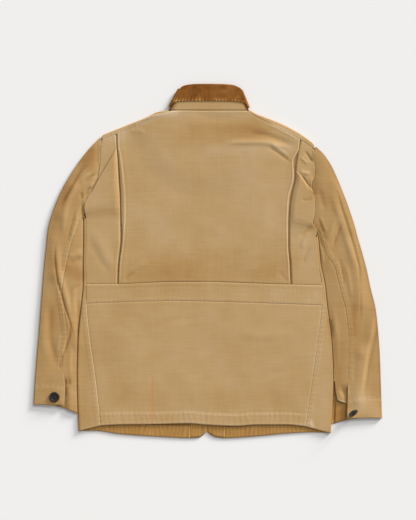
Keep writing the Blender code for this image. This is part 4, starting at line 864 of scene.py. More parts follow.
def back_side(side, table):
    """The side of the back, in under the pleat and out to the armhole and side seam."""
    rows = by_row(table, finely(table, (0, 2), 2.2 * MM))
    fold, outer = plan(rows[:, 0:2]), plan(rows[:, 2:4])
    inward = unit(fold - outer)
    columns = [fold + inward * LAP, fold + inward * LAP * 0.5]
    columns += [fold + (outer - fold) * share
                for share in shares(0.06, 2.2 * MM, (0.9, 1.8, 2.8, 4.0, 5.2, 6.6))]
    spots = np.stack(columns, axis=1)
    away, rim = apart(spots, fold[:, None]), apart(spots, outer[:, None])
    away[:, :2] = 0.0
    raised = np.clip(rows[:, 4], 0, 1)[:, None] * smooth(away / SIDE_FOLD_RUN)
    foot = np.minimum(3 * np.abs(np.gradient(rows[:, 4])), 1.0)[:, None] * smooth(away / (5 * MM))
    foot = foot * (rows[:, 4:5] < 0.6)
    pleats = np.array(PLEATS)
    down, crest = pleats[:, [1, 4] if side == "left" else [3, 5]].T
    slot = 0.45 * np.interp(rows[:, 1:2], down, crest) - 0.6
    lie, tone = worn_lie(spots, BODY_FOLDS)
    upper = high(spots) + SIDE_FOLD_RISE * raised + lie - 0.5 * MM * foot
    height = LAP_PLY + (upper - LAP_PLY) * smooth((away - 0.8 * MM) / (4.5 * MM))
    # Painted shade at the foot of the raised fold and in the slot under the pleat; the raised fold's rim is
    # drawn paler.
    tone += (0.35 * raised * bell(rim / (2.2 * MM)) - 0.9 * foot
             + SLOT_SHADE * (1 - smooth((away / MM - slot) / 1.5)))
    dress(side + "_side_back", "back_side_" + side, inset(with_height(spots, height)), tone)


def band(name, node, left, right, top, bottom, extra, cloth="canvas"):
    """A panel of the back from side seam to side seam.  extra: what its double cloth adds."""
    spots = patch(plan(left), plan(right), plan(top), plan(bottom))
    lie, tone = worn_lie(spots, BODY_FOLDS)
    rise, shade = extra(spots)
    dress(name, node, inset(with_height(spots, high(spots) + lie + rise)), tone + shade,
          cloth)


def lower_back():
    """The waistband and the panel below it, down to the hem."""
    across = shares(0.54)
    band_top, band_low = by_share(WAIST_TOP, across), by_share(WAIST_LOW, across)
    rows = shares(0.045, 2.5 * MM, (0.8, 2.0, 3.5))[:, None]
    left = band_top[0] + rows * (band_low[0] - band_top[0])
    right = band_top[-1] + rows * (band_low[-1] - band_top[-1])

    def doubled(spots):
        """The band is folded cloth, with a roll along each edge and faint puckers between."""
        rib = np.sin(math.tau * spots[..., 0] / (8 * MM) + 3.0 * wander(spots, 26 * MM, 9))
        over = smooth(rows / 0.12) * smooth((1 - rows) / 0.12)
        return (BAND_RISE + 0.05 * MM * rib) * over, 0.10 * rib * wander(spots, 90 * MM, 10)

    band("waist_band", "waistband", left, right, band_top, band_low, doubled)
    where = finely([row[3:5] for row in FRONT_LEFT[:5]], (0,))[::-1]
    left, right = by_row(FRONT_LEFT, where)[:, 3:5], by_row(FRONT_RIGHT, where)[:, 3:5]
    hem_line = plan(by_share(BACK_HEM, np.linspace(0, 1, 60)))

    def hemmed(spots):
        """The turned-up hem makes the lower edge thicker, and it has rolled and puckered a little."""
        away = np.abs(beside(hem_line, spots)[0])
        inside_hem = 1 - smooth((away - (HEM_DEPTH - 1.0) * MM) / (2.0 * MM))
        tick = np.sin(math.tau * spots[..., 0] / (13 * MM) + 4.0 * wander(spots, 34 * MM, 11))
        streak = wander(spots * np.array([0.12, 1.0]), 5 * MM, 12)
        # The tick term is painted light and shade on the puckers; the streaks and the rest are the cloth's
        # own.
        tone = 0.04 * tick + 0.08 * streak + 0.04
        return inside_hem * (BAND_RISE + 0.10 * MM * tick), inside_hem * tone

    band("lower_back", "back_lower", left, right, band_low, by_share(BACK_HEM, across),
         hemmed, "marked canvas")


def neck_line(where):
    """The neck seam at stations round the collar."""
    last = len(COLLAR) - 1
    lines = (by_share(NECKLINE_LEFT, where / COLLAR_FRONT), by_row(NECK_SEAM, where - COLLAR_FRONT - 1),
             by_share(NECKLINE_RIGHT, (last - where) / COLLAR_FRONT))
    part = np.where(where < COLLAR_FRONT, 0, np.where(where <= last - COLLAR_FRONT, 1, 2))
    return np.stack(lines)[part, np.arange(len(where))]


def collar_ring(where, columns, turn=None):
    """Points of the collar at stations round the neck.  columns: the edge that each starts from, the
    share of the way from it up to the roll, and the distance from the collar's middle."""
    rows = by_row(COLLAR, where)
    seam, roll, fall = plan(neck_line(where)), plan(rows[:, 0:2]), plan(rows[:, 2:4])
    turn = np.radians(rows[:, 4] if turn is None else turn)
    side = np.where(where < 0.5 * (len(COLLAR) - 1), -1.0, 1.0)[:, None]
    line = unit(roll - seam)
    outward = np.stack([line[:, 1], -line[:, 0]], axis=-1) * side * np.cos(turn)[:, None]
    facing = np.concatenate([outward, np.sin(turn)[:, None]], axis=-1)
    points = []
    for base, share, out in columns:
        start = seam if base == "seam" else fall
        spot = with_height(start + (roll - start) * share, np.full(len(rows), COLLAR_MIDDLE))
        points.append(spot + facing * out)
    return np.stack(points, axis=1), facing


def collar():
    """The stand, a ring of canvas, and the corduroy leaf folded over its top."""
    last = len(COLLAR) - 1
    sample = np.linspace(0.0, last, 600)
    walked = walked_along(collar_ring(sample, [("fall", 0.45, LEAF_OUT)])[0][:, 0])
    stations = int(walked[-1] / (WALE / STATIONS_PER_WALE))
    where = np.interp(np.linspace(0, walked[-1], stations), walked, sample)

    coarse = where[::4]
    from_end = np.minimum(coarse, last - coarse) - COLLAR_FRONT
    turn = 180 * smooth((from_end - STAND_TURN[0]) / STAND_TURN[1]) - 90
    stand, _ = collar_ring(coarse, [("seam", share, STAND_OUT) for share in STAND_SHARES], turn)
    # Painted shade: the stand is darkened into the hollow at each end of the leaf, and along its top under
    # the leaf.
    painted_end_shade = bell((from_end - 0.9) / 0.7)[:, None]
    tone = 0.1 * wander(stand[..., :2], 40 * MM, 14) - 0.05 - 1.6 * painted_end_shade
    tone[:, -4:] -= 0.12
    dress("stand", "collar_stand", inset(stand), tone)

    walk = np.interp(where, sample, walked)
    place = np.stack([walk, walk], axis=-1)
    ridge = np.abs(np.cos(math.pi * walk / WALE)) ** 0.7 * (1.0 + 0.2 * wander(place, 9 * MM, 15))
    leaf, facing = collar_ring(where, [("fall", share, LEAF_OUT) for share in LEAF_SHARES])
    inner, _ = collar_ring(where, [("fall", 1.0, INNER_OUT)])
    up = unit(leaf[:, -1] - leaf[:, 0])
    middle = 0.5 * (leaf[:, -1] + inner[:, 0])
    bend = 0.5 * (LEAF_OUT - INNER_OUT)
    over = unit(leaf[:, -1] - inner[:, 0])
    turns = [up * math.cos(angle) + over * math.sin(angle) for angle in np.radians(range(63, -46, -27))]
    roll = [middle + bend * normal for normal in turns]
    sheet = np.concatenate([leaf, np.stack(roll, axis=1)], axis=1)
    lift = WALE_HEIGHT * (ridge[:, None] - 0.4) * np.minimum(0.35 + np.arange(sheet.shape[1]) * 0.4, 1.0)
    sheet = sheet + np.stack([facing] * len(LEAF_SHARES) + turns, axis=1) * lift[..., None]
    ticks = np.cos(math.tau * walk / WEAR_PITCH + 1.5 * wander(place, 20 * MM, 16))
    worn = strokes(sheet[..., :2], COLLAR_WEAR) * (0.45 + 0.55 * ticks[:, None])
    # Painted light and shade on the wales: ridges drawn paler and valleys darker, besides the worn ends.
    tone = (0.4 * ridge[:, None] - 0.46 + 1.1 * worn + 0.22 * wander(sheet[..., :2], 10 * MM, 17)
            + 0.2 * wander(sheet[..., :2], 30 * MM, 18))
    dress("collar_leaf", "collar_fall", inset(sheet), tone,
          "corduroy")


# ---- sleeves -----------------------------------------------------------------------------------

def clear_from(side):
    """The row at which a sleeve's inner edge comes clear of the armhole."""
    return int(np.argmax([row[5] for row in SLEEVES[side]]))


def sleeve_lines(side, where):
    """A sleeve's outer fold, inner edge and back seam's share.  Below the armhole the inner edge
    lies against the side of the body."""
    rows, body = by_row(SLEEVES[side], where), BODIES[side]
    edge = by_row(body, np.linspace(0, len(body) - 1, 500))[::-1]
    beside_body = np.interp(rows[:, 3], edge[:, 2], edge[:, 1]) + math.copysign(BESIDE / MM, rows[0, 2])
    rows[:, 2] += (beside_body - rows[:, 2]) * smooth(where - clear_from(side) + 1.0)
    return plan(rows[:, 0:2]), plan(rows[:, 2:4]), rows[:, 4:5]


def sleeve_high(spot, outer, inner):
    """Height of a sleeve's upper side, domed between its two folds, and its tone."""
    width = apart(inner, outer)
    share = np.clip(apart(spot, outer) / width, 0, 1)
    dome = (1.0 - np.abs(2.0 * share - 1.0) ** 2.6) * np.minimum(width / FULL_WIDTH, 1.0)
    lie, tone = worn_lie(spot, SLEEVE_FOLDS)
    return SLEEVE_PLY + SLEEVE_DOME * dome + strokes(spot, CREASES) * MM + lie, tone + SLEEVE_TONE


def sleeve_stations(side, first=0):
    """Rows at which both halves of a sleeve are cut, closer at the vent."""
    vent = VENT_FROM[side] + np.arange(0.0, 0.31, 0.05)
    where = np.unique(np.round(np.concatenate([finely(SLEEVES[side], (0, 2), 2.3 * MM), vent]), 4))
    return where[where >= first]


def hidden_share(side, back, where):
    """Where the sleeve's lower seam runs, as a share of the way in."""
    below = where[:, None] - clear_from(side)
    blend = smooth(below)
    return np.where(below < 0, 1.0, back * (1 - blend) + FRONT_SEAM * blend)


def at_cuff(side, spot, where, upper):
    """Moves the end of a sleeve up to the cuff's own curved edge, and says how much cloth of the
    turned-up hem lies there."""
    outer, inner = plan(np.reshape(SLEEVES[side][-1][:4], (2, 2)))
    run = inner - outer
    share = ((spot - outer) @ run) / (run @ run)
    lift = cuff_lift(side, share, upper) * smooth((where - len(SLEEVES[side]) + 1.8) / 0.8)
    moved = spot + np.stack([0 * lift, lift * MM], axis=-1)
    up = np.abs((moved - outer) @ np.array([-run[1], run[0]])) / np.linalg.norm(run) / MM
    return moved, 1 - smooth((up - cuff_lift(side, share, 0) - CUFF_DEPTH + 1.0) / 2.0)


def round_fold(crown, floor, angle):
    """Height of the cloth at an angle round a fold, between its lower ply and its upper one."""
    return 0.5 * (crown + floor) + 0.5 * (crown - floor) * math.sin(angle)


def sleeve_top(side):
    """The outer half of a sleeve, from the back seam round the outer fold to the hidden seam."""
    where = sleeve_stations(side)
    outer, inner, back = sleeve_lines(side, where)
    back = np.where(where[:, None] < clear_from(side), 1.0, back)
    under = hidden_share(side, back, where)
    inward, width = unit(inner - outer), apart(inner, outer)
    for middle, half_length, reach in SLEEVE_TUCKS[side]:
        near = 1 - smooth(np.abs(where - middle) / half_length)
        back = back + (near * reach * MM / width)[:, None]
    radius = np.minimum(0.5 * (SLEEVE_PLY - FLOOR_PLY), 0.4 * width)
    centre = outer + inward * (radius + 0.5 * CANVAS)[:, None]
    seam = outer + (inner - outer) * back
    hidden = outer + (inner - outer) * under
    open_from = smooth((where - VENT_FROM[side]) / 0.1)
    *flap_middle, half_width, rise = FLAP_LIFT[side]
    columns, tones = [], []
    for share in 1.0 - shares(0.075, 2.3 * MM, (0.8, 2.0, 4.0)):
        spot, hem = at_cuff(side, centre + (seam - centre) * share, where, 1)
        height, tone = sleeve_high(spot, outer, inner)
        lip = open_from * bell(apart(spot, seam) / (2.5 * MM))
        flap = rise * bell(apart(spot, plan(flap_middle)) / (half_width * MM))
        columns.append(with_height(spot, height + BAND_RISE * hem + (0.4 * lip + flap) * MM))
        # Painted shade along the outer fold (a little painted light on the left sleeve).
        tones.append(tone + 0.6 * lip + OUTER_FOLD_SHADE[side] * bell(apart(spot, outer) / (5 * MM)))
    crown, floor, fold_tone = columns[-1][:, 2], low(centre), tones[-1]
    for angle in np.radians(range(72, -73, -18)):
        spot, _ = at_cuff(side, centre - inward * (radius * math.cos(angle))[:, None], where, 0)
        columns.append(with_height(spot, round_fold(crown, floor, angle)))
        # Painted shade: darker round the outer fold, most where it turns over.
        tones.append(fold_tone - EDGE_SHADE * math.cos(angle))
    for share in np.linspace(0.0, 1.0, 14):
        spot, _ = at_cuff(side, centre + (hidden - centre) * share, where, 0)
        columns.append(with_height(spot, low(spot)))
        tones.append(folded(spot, UNDER_FOLDS)[1] + UNDER_TONE)
    dress(side + "_top_sleeve", "sleeve_top_" + side, inset(np.stack(columns, axis=1)),
          np.stack(tones, axis=1))


def sleeve_under(side):
    """The inner half of a sleeve.  At the cuff it runs in under the buttoned flap, and its upper
    side stops short of the cuff."""
    vent_from, vent_run, last = VENT_FROM[side], VENT_RUN[side], len(SLEEVES[side]) - 1
    cut_vent, cut_near, cut_fold = VENT_CUT[side]
    early = vent_from - 0.7
    base = sleeve_stations(side, clear_from(side))
    radius = 0.5 * (SLEEVE_PLY - FLOOR_PLY)
    across = 1.0 - shares(0.035, 2.2 * MM, (0.8, 2.0, 4.0))
    plies = [("over", share) for share in across]
    plies += [("fold", angle) for angle in range(70, -91, -20)]
    plies += [("under", share) for share in (0.25, 0.5, 0.75, 1.0)]
    columns, tones = [], []
    for kind, value in plies:
        cut = 0.0
        if kind == "over":
            cut = (cut_near + (cut_vent - cut_near) * value
                   + (cut_fold - cut_near) * (1 - smooth(value / 0.2)))
        elif kind == "fold" and value > 0:
            cut = cut_fold
        where = base - cut * np.clip((base - early) / (last - early), 0.0, 1.0)
        outer, inner, back = sleeve_lines(side, where)
        outward = unit(inner - outer)
        centre = inner - outward * (radius + 0.5 * CANVAS)
        if kind == "over":
            dropped = smooth((where - vent_from) / vent_run)
            lapped = smooth((where - vent_from - 0.7 * vent_run) / 0.2)
            seam = outer + (inner - outer) * back - outward * (lapped * VENT_LAP)[:, None]
            spot, hem = at_cuff(side, centre + (seam - centre) * value, where, 0)
            height, tone = sleeve_high(spot, outer, inner)
            natural = height + BAND_RISE * hem
            tucked = dropped * smooth((value - 0.3) / 0.35)
            sunk = np.minimum(natural, SLEEVE_PLY + 0.3 * MM) - VENT_DROP
            columns.append(with_height(spot, natural + (sunk - natural) * tucked))
            rim = bell(apart(spot, inner) / (3 * MM))
            end = smooth((where - (last - cut) + 0.05) / 0.03) * (cut > 0)
            # Painted shade: the lap tucked under the flap is drawn darker.
            tones.append(tone - 0.2 * tucked + 0.2 * rim + 0.9 * end)
        elif kind == "fold":
            angle = math.radians(value)
            spot, _ = at_cuff(side, centre + outward * radius * math.cos(angle), where, 0)
            crown, floor = columns[len(across) - 1][:, 2], low(centre)
            columns.append(with_height(spot, round_fold(crown, floor, angle)))
            # Painted shade: darker round the inner fold, most where it turns over.
            tones.append(tones[len(across) - 1] - EDGE_SHADE * math.cos(angle) * (cut == 0)
                         + 0.5 * (cut > 0) * smooth((where - early) / 0.3))
        else:
            seam = outer + (inner - outer) * hidden_share(side, back, base)
            spot, _ = at_cuff(side, centre + (seam - centre) * value, where, 0)
            columns.append(with_height(spot, low(spot)))
            tones.append(folded(spot, UNDER_FOLDS)[1] + UNDER_TONE)
    dress(side + "_under_sleeve", "sleeve_under_" + side, inset(np.stack(columns, axis=1)),
          np.stack(tones, axis=1))


def cuff_facing(side):
    """The turned-up end of the sleeve, lying on the inside of its lower side."""
    last = len(SLEEVES[side]) - 1
    where = np.linspace(last - 0.6, last, 14)
    outer, inner, _ = sleeve_lines(side, where)
    inward = unit(inner - outer)
    start, end = outer + inward * CUFF_CLEAR, inner - inward * CUFF_CLEAR
    spots = np.stack([at_cuff(side, start + (end - start) * share, where, 0)[0]
                      for share in np.linspace(0, 1, 36)], axis=1)
    height = low(spots) + 0.5 * (CANVAS + LINING) + 0.35 * MM + 0.1 * MM * wander(spots, 12 * MM, 19)
    dress(side + "_cuff_facing", "cuff_facing_" + side, inset(with_height(spots, height)),
          0.2 * wander(spots, 12 * MM, 20), "inside")


# ---- sewing and buttons ------------------------------------------------------------------------

def on_cloth(name, spot):
    """The top of a piece at a spot, or None beside it."""
    tree, half_wall = surfaces[name]
    hit = tree.ray_cast(Vector((spot[0], spot[1], 0.1)), Vector((0, 0, -1)))[0]
    return None if hit is None else hit.z + half_wall


class Threads:
    """Many short lengths of thread, joined as one mesh."""

    def __init__(self):
        self.points, self.faces = [], []

    def lay(self, path, thickness, sides=6):
        """A round thread through points, with its half thickness at each."""
        first = len(self.points)
        for i, (spot, half) in enumerate(zip(path, thickness)):
            way = (path[min(i + 1, len(path) - 1)] - path[max(i - 1, 0)]).normalized()
            aside = way.cross(Vector((0, 0, 1)) if abs(way.z) < 0.9 else Vector((1, 0, 0))).normalized()
            over = aside.cross(way)
            for corner in range(sides):
                angle = math.tau * corner / sides
                self.points.append(spot + (aside * math.cos(angle) + over * math.sin(angle)) * half)
        for i in range(len(path) - 1):
            for corner in range(sides):
                a, b = first + i * sides + corner, first + i * sides + (corner + 1) % sides
                self.faces.append((a, b, b + sides, a + sides))

    def finish(self, name, finish, slot):
        """Puts the threads into the scene as one piece."""
        mesh = bpy.data.meshes.new(name)
        mesh.from_pydata([tuple(point) for point in self.points], [], self.faces)
        mesh.materials.append(finish)
        mesh.shade_smooth()
        link(name, mesh)


def stitching():
    """Lockstitch along every seam, each stitch its own small length of thread.  The real stitches
    are 2.2 mm long: they are drawn at 3.4 mm, with thicker thread, so that they show."""
    pitch, length, half = 3.4 * MM, 2.5 * MM, 0.34 * MM
    too_steep = 1.5 * MM    # a stitch that would climb from one piece onto another is left out
    threads = Threads()
    for line, side, _, _, _, _, rows, piece in SEAMS:
        walked = walked_along(line)
        along = np.arange(pitch, walked[-1] - pitch, pitch)
        middle, ahead = (np.stack([np.interp(at, walked, line[:, k]) for k in (0, 1)], axis=1)
                         for at in (along, along + MM))
        run = unit(ahead - middle)
        left = np.stack([-run[:, 1], run[:, 0]], axis=1) * side
        for out in rows:
            for spot, way in zip(middle + left * out * MM, run):
                ends = [on_cloth(piece, spot + way * length * share) for share in (-0.5, 0.5)]
                if None in ends or abs(ends[1] - ends[0]) > too_steep:
                    continue
                rise = ends[1] - ends[0]
                path = [Vector((*(spot + way * length * share), ends[0] + rise * (share + 0.5)))
                        for share in (-0.5, -0.36, 0.0, 0.36, 0.5)]
                threads.lay(path, [half * share for share in (0.02, 0.8, 1.0, 0.8, 0.02)], 5)
    threads.finish("seam_stitching", thread, "canvas")


def button(side):
    """A round horn button turned with a raised rim and a sunk face, sewn on through four holes."""
    *middle, lean, heading = BUTTONS[side]
    radius, half = 0.5 * BUTTON_WIDTH, 0.5 * BUTTON_THICKNESS
    # From the middle of the face out over the rim to the back: share of the radius, millimetres down.
    sunk, back = 1.2, BUTTON_THICKNESS / MM
    profile = ((0, sunk), (0.5, sunk), (0.62, 0.8), (0.72, 0.15), (0.82, 0), (0.92, 0.2), (0.985, 0.8),
               (1, 1.5), (0.97, 2.3), (0.86, back), (0, back))
    shape = bmesh.new()
    ring = [shape.verts.new((radius * share, 0.0, half - down * MM)) for share, down in profile]
    for a, b in zip(ring[:-1], ring[1:]):
        shape.edges.new((a, b))
    bmesh.ops.spin(shape, geom=shape.verts[:] + shape.edges[:], axis=(0, 0, 1), cent=(0, 0, 0),
                   angle=math.tau, steps=48, use_merge=True)
    bmesh.ops.remove_doubles(shape, verts=shape.verts, dist=0.01 * MM)
    bmesh.ops.recalc_face_normals(shape, faces=shape.faces)
    drill = bmesh.new()
    corners = ((1, 1), (1, -1), (-1, -1), (-1, 1))
    holes = [Vector((across * HOLE_SPREAD, along * HOLE_SPREAD, 0)) for across, along in corners]
    for hole in holes:
        bmesh.ops.create_cone(drill, cap_ends=True, segments=16, radius1=HOLE, radius2=HOLE,
                              depth=10 * MM, matrix=Matrix.Translation(hole))
    meshes = []
    for name, made in (("blank", shape), ("holes", drill)):
        mesh = bpy.data.meshes.new(name)
        made.to_mesh(mesh)
        made.free()
        meshes.append(mesh)
    piece = link(side + "_button", meshes[0])
    cutter = bpy.data.objects.new("holes", meshes[1])
    bpy.context.scene.collection.objects.link(cutter)
    piece.modifiers.new("Holes", "BOOLEAN").object = cutter
    bpy.context.view_layer.update()
    mesh = bpy.data.meshes.new_from_object(piece.evaluated_get(bpy.context.evaluated_depsgraph_get()))
    piece.modifiers.clear()
    bpy.data.objects.remove(cutter, do_unlink=True)

    tilt, turn = math.radians(lean), math.radians(heading)
    spot, cloth = plan(middle), side + "_top_sleeve"
    rest = spot + np.array([math.sin(turn), -math.cos(turn)]) * radius * math.cos(tilt)
    height = on_cloth(cloth, rest) + radius * math.sin(tilt) + half * math.cos(tilt) + BUTTON_GAP
    axis = Vector((math.cos(turn), math.sin(turn), 0.0))
    place = Matrix.Translation((spot[0], spot[1], height)) @ Matrix.Rotation(tilt, 4, axis)
    mesh.transform(place)
    mesh.materials.clear()
    mesh.materials.append(horn)
    mesh.shade_smooth()
    mesh.set_sharp_from_angle(angle=math.radians(45))
    piece.data = mesh
    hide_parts("cuff_button_" + side)

    threads = Threads()
    for start, end in ((0, 2), (1, 3), (0, 3), (1, 2)):     # a cross, and two bars
        a, b = holes[start], holes[end]
        aside = (b - a).normalized().cross(Vector((0, 0, 1))) * 0.25 * MM
        for strand in (-1, 1):
            path = []
            for share in np.linspace(0, 1, 9):
                lift = half + (0.55 * math.sin(math.pi * share) - 0.5 * abs(2 * share - 1) ** 6 - sunk) * MM
                path.append(place @ (a.lerp(b, share) + aside * strand + Vector((0, 0, lift))))
            threads.lay(path, [0.28 * MM] * 9)
    foot = Vector((*spot, on_cloth(cloth, spot) - 0.2 * MM))
    threads.lay([place @ Vector((0, 0, 0)), foot.lerp(place.translation, 0.5), foot],
                [1.6 * MM, 1.0 * MM, 1.5 * MM], 10)
    threads.finish(side + "_button_thread", dark_thread, "horn")


# ---- finishes ----------------------------------------------------------------------------------

# Dyes from fresh to worn out: how faded, and the colour.
DUCK_STOPS = ((0, "#7C552B"), (0.2, "#A27845"), (0.36, "#B18B58"), (0.5, "#B99767"), (0.7, "#C3A57E"),
              (1, "#D7C4A4"))
INSIDE_STOPS = ((0, "#855420"), (0.5, "#AC7F42"), (1, "#CBA268"))
CORDUROY_STOPS = ((0.15, "#58300F"), (0.4, "#7E4E1D"), (0.6, "#94602B"), (0.8, "#B58A4E"), (1, "#CBA86E"))
HORN_STOPS = ((0.3, "#15110F"), (0.55, "#221B17"), (0.8, "#3A2D24"))


def dye(code):
    """An sRGB hex value as linear red, green, blue and alpha."""
    channels = [int(code[i:i + 2], 16) / 255 for i in (1, 3, 5)]
    return [c / 12.92 if c <= 0.04045 else ((c + 0.055) / 1.055) ** 2.4 for c in channels] + [1.0]


def add(tree, kind, inputs=None, **settings):
    """A node with its settings; inputs are values, or outputs to link from."""
    node = tree.nodes.new("ShaderNode" + kind)
    for key, value in settings.items():
        setattr(node, key, value)
    for key, value in (inputs or {}).items():
        if isinstance(value, bpy.types.NodeSocket):
            tree.links.new(value, node.inputs[key])
        else:
            node.inputs[key].default_value = value
    return node


def sums(tree, kind, *values):
    """The result of a sum on numbers or outputs."""
    return add(tree, "Math", dict(enumerate(values)), operation=kind).outputs[0]


def new_finish(name, roughness, **sockets):
    """A material whose Principled shader has these even values."""
    finish = bpy.data.materials.new(name)
    finish.use_nodes = True
    shader = finish.node_tree.nodes["Principled BSDF"]
    shader.inputs["Roughness"].default_value = roughness
    for socket, value in sockets.items():
        shader.inputs[socket.replace("_", " ")].default_value = value
    return finish, finish.node_tree, shader


def patterned(tree, shader, colour, bump):
    """Gives a shader its patterns: the colour, and the grain that catches the light."""
    tree.links.new(colour, shader.inputs["Base Color"])
    tree.links.new(bump.outputs["Normal"], shader.inputs["Normal"])


def noise(tree, place, stretch, detail=2.0):
    """Cloudy noise.  stretch: how many swells to the metre along each axis."""
    placed = add(tree, "Mapping", {"Vector": place, "Scale": stretch}).outputs["Vector"]
    return add(tree, "TexNoise", {"Vector": placed, "Scale": 1.0, "Detail": detail}).outputs["Fac"]


def bands(tree, place, pitch, direction):
    """Even bands pitch apart: the threads of a weave."""
    per_scale = 20.0        # Blender's bands pass this many radians a metre at a scale of 1
    return add(tree, "TexWave", {"Vector": place, "Scale": math.tau / per_scale / pitch,
                                 "Distortion": 1.2, "Detail": 1.0, "Detail Scale": 1.5},
               bands_direction=direction).outputs["Fac"]


def faded(tree, patterns, stops):
    """The colour of a dyed thing: its tone, varied by noise patterns, read from fresh to worn dye."""
    tone = add(tree, "Attribute", attribute_name="tone").outputs["Fac"]
    level = sums(tree, "MULTIPLY_ADD", tone, 0.4, 0.5)
    for pattern, share in patterns:
        level = sums(tree, "MULTIPLY_ADD", sums(tree, "SUBTRACT", pattern, 0.5), share, level)
    node = add(tree, "ValToRGB", {"Fac": level})
    elements = node.color_ramp.elements
    while len(elements) < len(stops):
        elements.new(0.5)
    for element, (position, code) in zip(elements, stops):
        element.position = position
        element.color = dye(code)
    return node.outputs["Color"]


def worn_duck(name, stops, chalk, mark=None):
    """Cotton duck: plain-woven in thick yarn, dyed in the piece, then faded by sun and washing.  It
    gives a dry, matt face with a fine grain of threads, slubs across it and pale worn places.
    chalk: how strongly its threads have faded unevenly."""
    finish, tree, shader = new_finish(name, 0.92, Specular_IOR_Level=0.25, Sheen_Weight=0.10,
                                      Sheen_Roughness=0.6, Sheen_Tint=dye("#E8D6B4"))
    place = add(tree, "TexCoord").outputs["Object"]
    cloud = noise(tree, place, (16, 16, 16), 4.0)
    slub = noise(tree, place, (22, 330, 60))
    warp = noise(tree, place, (330, 18, 60))
    grit = noise(tree, place, (700, 700, 700))
    colour = faded(tree, ((cloud, 0.24), (slub, 0.14 * chalk), (warp, 0.10 * chalk), (grit, 0.10)), stops)
    if mark:
        left, top = plan(mark[:2])
        half_width = mark[2]
        split = add(tree, "SeparateXYZ", {"Vector": place}).outputs
        side = sums(tree, "ABSOLUTE", sums(tree, "SUBTRACT", split["X"], float(left)))
        near = add(tree, "MapRange", {"Value": side, "From Min": 0.4 * half_width * MM,
                                      "From Max": 1.3 * half_width * MM, "To Min": 1.0, "To Max": 0.0})
        above = add(tree, "MapRange", {"Value": split["Y"], "From Min": float(top) - 12 * MM,
                                       "From Max": float(top), "To Min": 1.0, "To Max": 0.0})
        patchy = add(tree, "MapRange", {"Value": grit, "From Min": 0.3, "From Max": 0.6, "To Min": 0.3,
                                        "To Max": 0.62})
        share = sums(tree, "MULTIPLY", sums(tree, "MULTIPLY", near.outputs[0], above.outputs[0]),
                     patchy.outputs[0])
        colour = add(tree, "MixRGB", {"Fac": share, "Color1": colour, "Color2": dye("#D07A42")}).outputs[0]
    # Threads of the real duck are 0.6 mm apart: they are drawn at 1.1 mm, as coarse as shows.
    weave = sums(tree, "MULTIPLY", bands(tree, place, 1.1 * MM, "Y"), bands(tree, place, 1.1 * MM, "X"))
    grain = sums(tree, "MULTIPLY_ADD", grit, 0.5, weave)
    fine = add(tree, "Bump", {"Height": grain, "Strength": 0.35, "Distance": 0.25 * MM}).outputs["Normal"]
    coarse = add(tree, "Bump", {"Height": slub, "Strength": 0.25, "Distance": 0.5 * MM, "Normal": fine})
    patterned(tree, shader, colour, coarse)
    return finish


def cut_corduroy():
    """Cotton corduroy: pile woven in ridges and cut.  It drinks light in the valleys, catches it on
    the ridges, and has worn to its pale ground along the edge."""
    finish, tree, shader = new_finish("Cut corduroy", 0.95, Specular_IOR_Level=0.15, Sheen_Weight=0.30,
                                      Sheen_Roughness=0.45, Sheen_Tint=dye("#C08850"))
    place = add(tree, "TexCoord").outputs["Object"]
    pile = noise(tree, place, (420, 420, 420), 3.0)
    mottle = noise(tree, place, (70, 70, 70), 3.0)
    colour = faded(tree, ((pile, 0.30), (mottle, 0.45)), CORDUROY_STOPS)
    bump = add(tree, "Bump", {"Height": pile, "Strength": 0.5, "Distance": 0.4 * MM})
    patterned(tree, shader, colour, bump)
    return finish


def turned_horn():
    """Buffalo horn, turned and polished, then dulled by wear: near black with brown streaks."""
    finish, tree, shader = new_finish("Turned horn", 0.42, Specular_IOR_Level=0.4, IOR=1.54)
    place = add(tree, "TexCoord").outputs["Object"]
    colour = faded(tree, ((noise(tree, place, (90, 420, 200), 4.0), 1.0),), HORN_STOPS)
    scuff = noise(tree, place, (900, 900, 900))
    bump = add(tree, "Bump", {"Height": scuff, "Strength": 0.15, "Distance": 0.1 * MM})
    patterned(tree, shader, colour, bump)
    return finish


def sewing_thread(name, code):
    """Spun cotton thread, matt."""
    return new_finish(name, 0.85, Specular_IOR_Level=0.3, Base_Color=dye(code))[0]


# ---- studio ------------------------------------------------------------------------------------

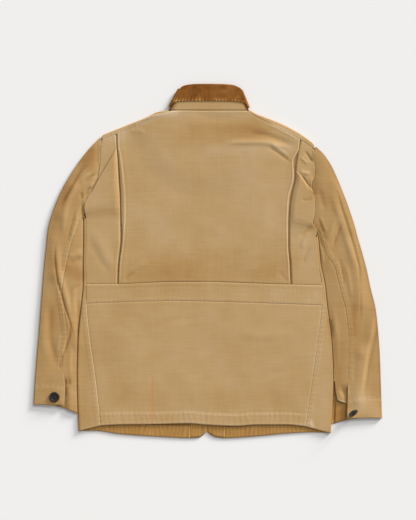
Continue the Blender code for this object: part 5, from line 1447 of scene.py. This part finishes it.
def studio():
    """A pale table, two broad lamps from the upper right, and even light all round."""
    reach = 6.0
    mesh = bpy.data.meshes.new("floor")
    corners = ((-1, -1), (1, -1), (1, 1), (-1, 1))
    mesh.from_pydata([(across * reach, along * reach, 0) for across, along in corners], [], [(0, 1, 2, 3)])
    floor = bpy.data.objects.new("floor", mesh)
    floor.location.z = -0.3 * MM
    bpy.context.scene.collection.objects.link(floor)
    paper, _, _ = new_finish("Matt paper", 0.95, Specular_IOR_Level=0.1, Base_Color=dye("#F0EFEE"))
    mesh.materials.append(paper)

    for name, (power, breadth, height, bearing) in LAMPS.items():
        light = bpy.data.lights.new(name, "SUN")
        light.energy = power
        light.angle = math.radians(breadth)
        light.color = (1.0, 0.99, 0.97)
        lamp = bpy.data.objects.new(name, light)
        up, about = math.radians(height), math.radians(bearing)
        towards = Vector((math.cos(up) * math.cos(about), math.cos(up) * math.sin(about), math.sin(up)))
        lamp.rotation_euler = towards.to_track_quat("Z", "Y").to_euler()
        bpy.context.scene.collection.objects.link(lamp)

    world = bpy.data.worlds.new("studio")
    bpy.context.scene.world = world
    world.use_nodes = True
    room = world.node_tree.nodes["Background"]
    room.inputs["Color"].default_value = (0.98, 0.99, 1.0, 1.0)
    room.inputs["Strength"].default_value = ROOM_LIGHT
    bpy.context.scene.view_settings.view_transform = "Standard"

    lens = bpy.data.cameras.new("camera")
    lens.sensor_fit = "HORIZONTAL"
    lens.sensor_width = 36.0
    lens.lens = lens.sensor_width * CAMERA_HEIGHT / PHOTO_WIDTH
    lens.clip_end = 50.0
    camera = bpy.data.objects.new("camera", lens)
    camera.location = (*plan(PHOTO_MIDDLE), CAMERA_HEIGHT)
    bpy.context.scene.collection.objects.link(camera)
    bpy.context.scene.camera = camera


SLEEVES = {"left": SLEEVE_LEFT, "right": SLEEVE_RIGHT}
BODIES = {"left": FRONT_LEFT, "right": FRONT_RIGHT}
SEAMS = seam_lines()
duck = worn_duck("Worn cotton duck", DUCK_STOPS, 1.0)
marked_duck = worn_duck("Worn cotton duck with a rust mark", DUCK_STOPS, 1.0, MARK)
inside_duck = worn_duck("Inside of cotton duck", INSIDE_STOPS, 1.6)
CLOTHS = {"canvas": (duck, "canvas", CANVAS), "marked canvas": (marked_duck, "canvas", CANVAS),
          "inside": (inside_duck, "inside", LINING), "corduroy": (cut_corduroy(), "corduroy", CORDUROY)}
horn = turned_horn()
thread = sewing_thread("Cotton thread", "#BFA274")
dark_thread = sewing_thread("Button thread", "#3A2E24")

studio()
front("left", FRONT_LEFT, HEM_LEFT, NECKLINE_LEFT)
front("right", FRONT_RIGHT, HEM_RIGHT, NECKLINE_RIGHT)
front_inside("left", HEM_LEFT, NECKLINE_LEFT, 0.45)
front_inside("right", HEM_RIGHT, NECKLINE_RIGHT, 0.46)
back_centre()
back_side("left", SIDE_LEFT)
back_side("right", SIDE_RIGHT)
lower_back()
collar()
for side, cut in (("left", (0.09, 0.035, 0.0029)), ("right", (0.105, 0.06, 0.0056))):
    sleeve_top(side)
    sleeve_under(side)
    cuff_facing(side)
    button(side)
stitching()
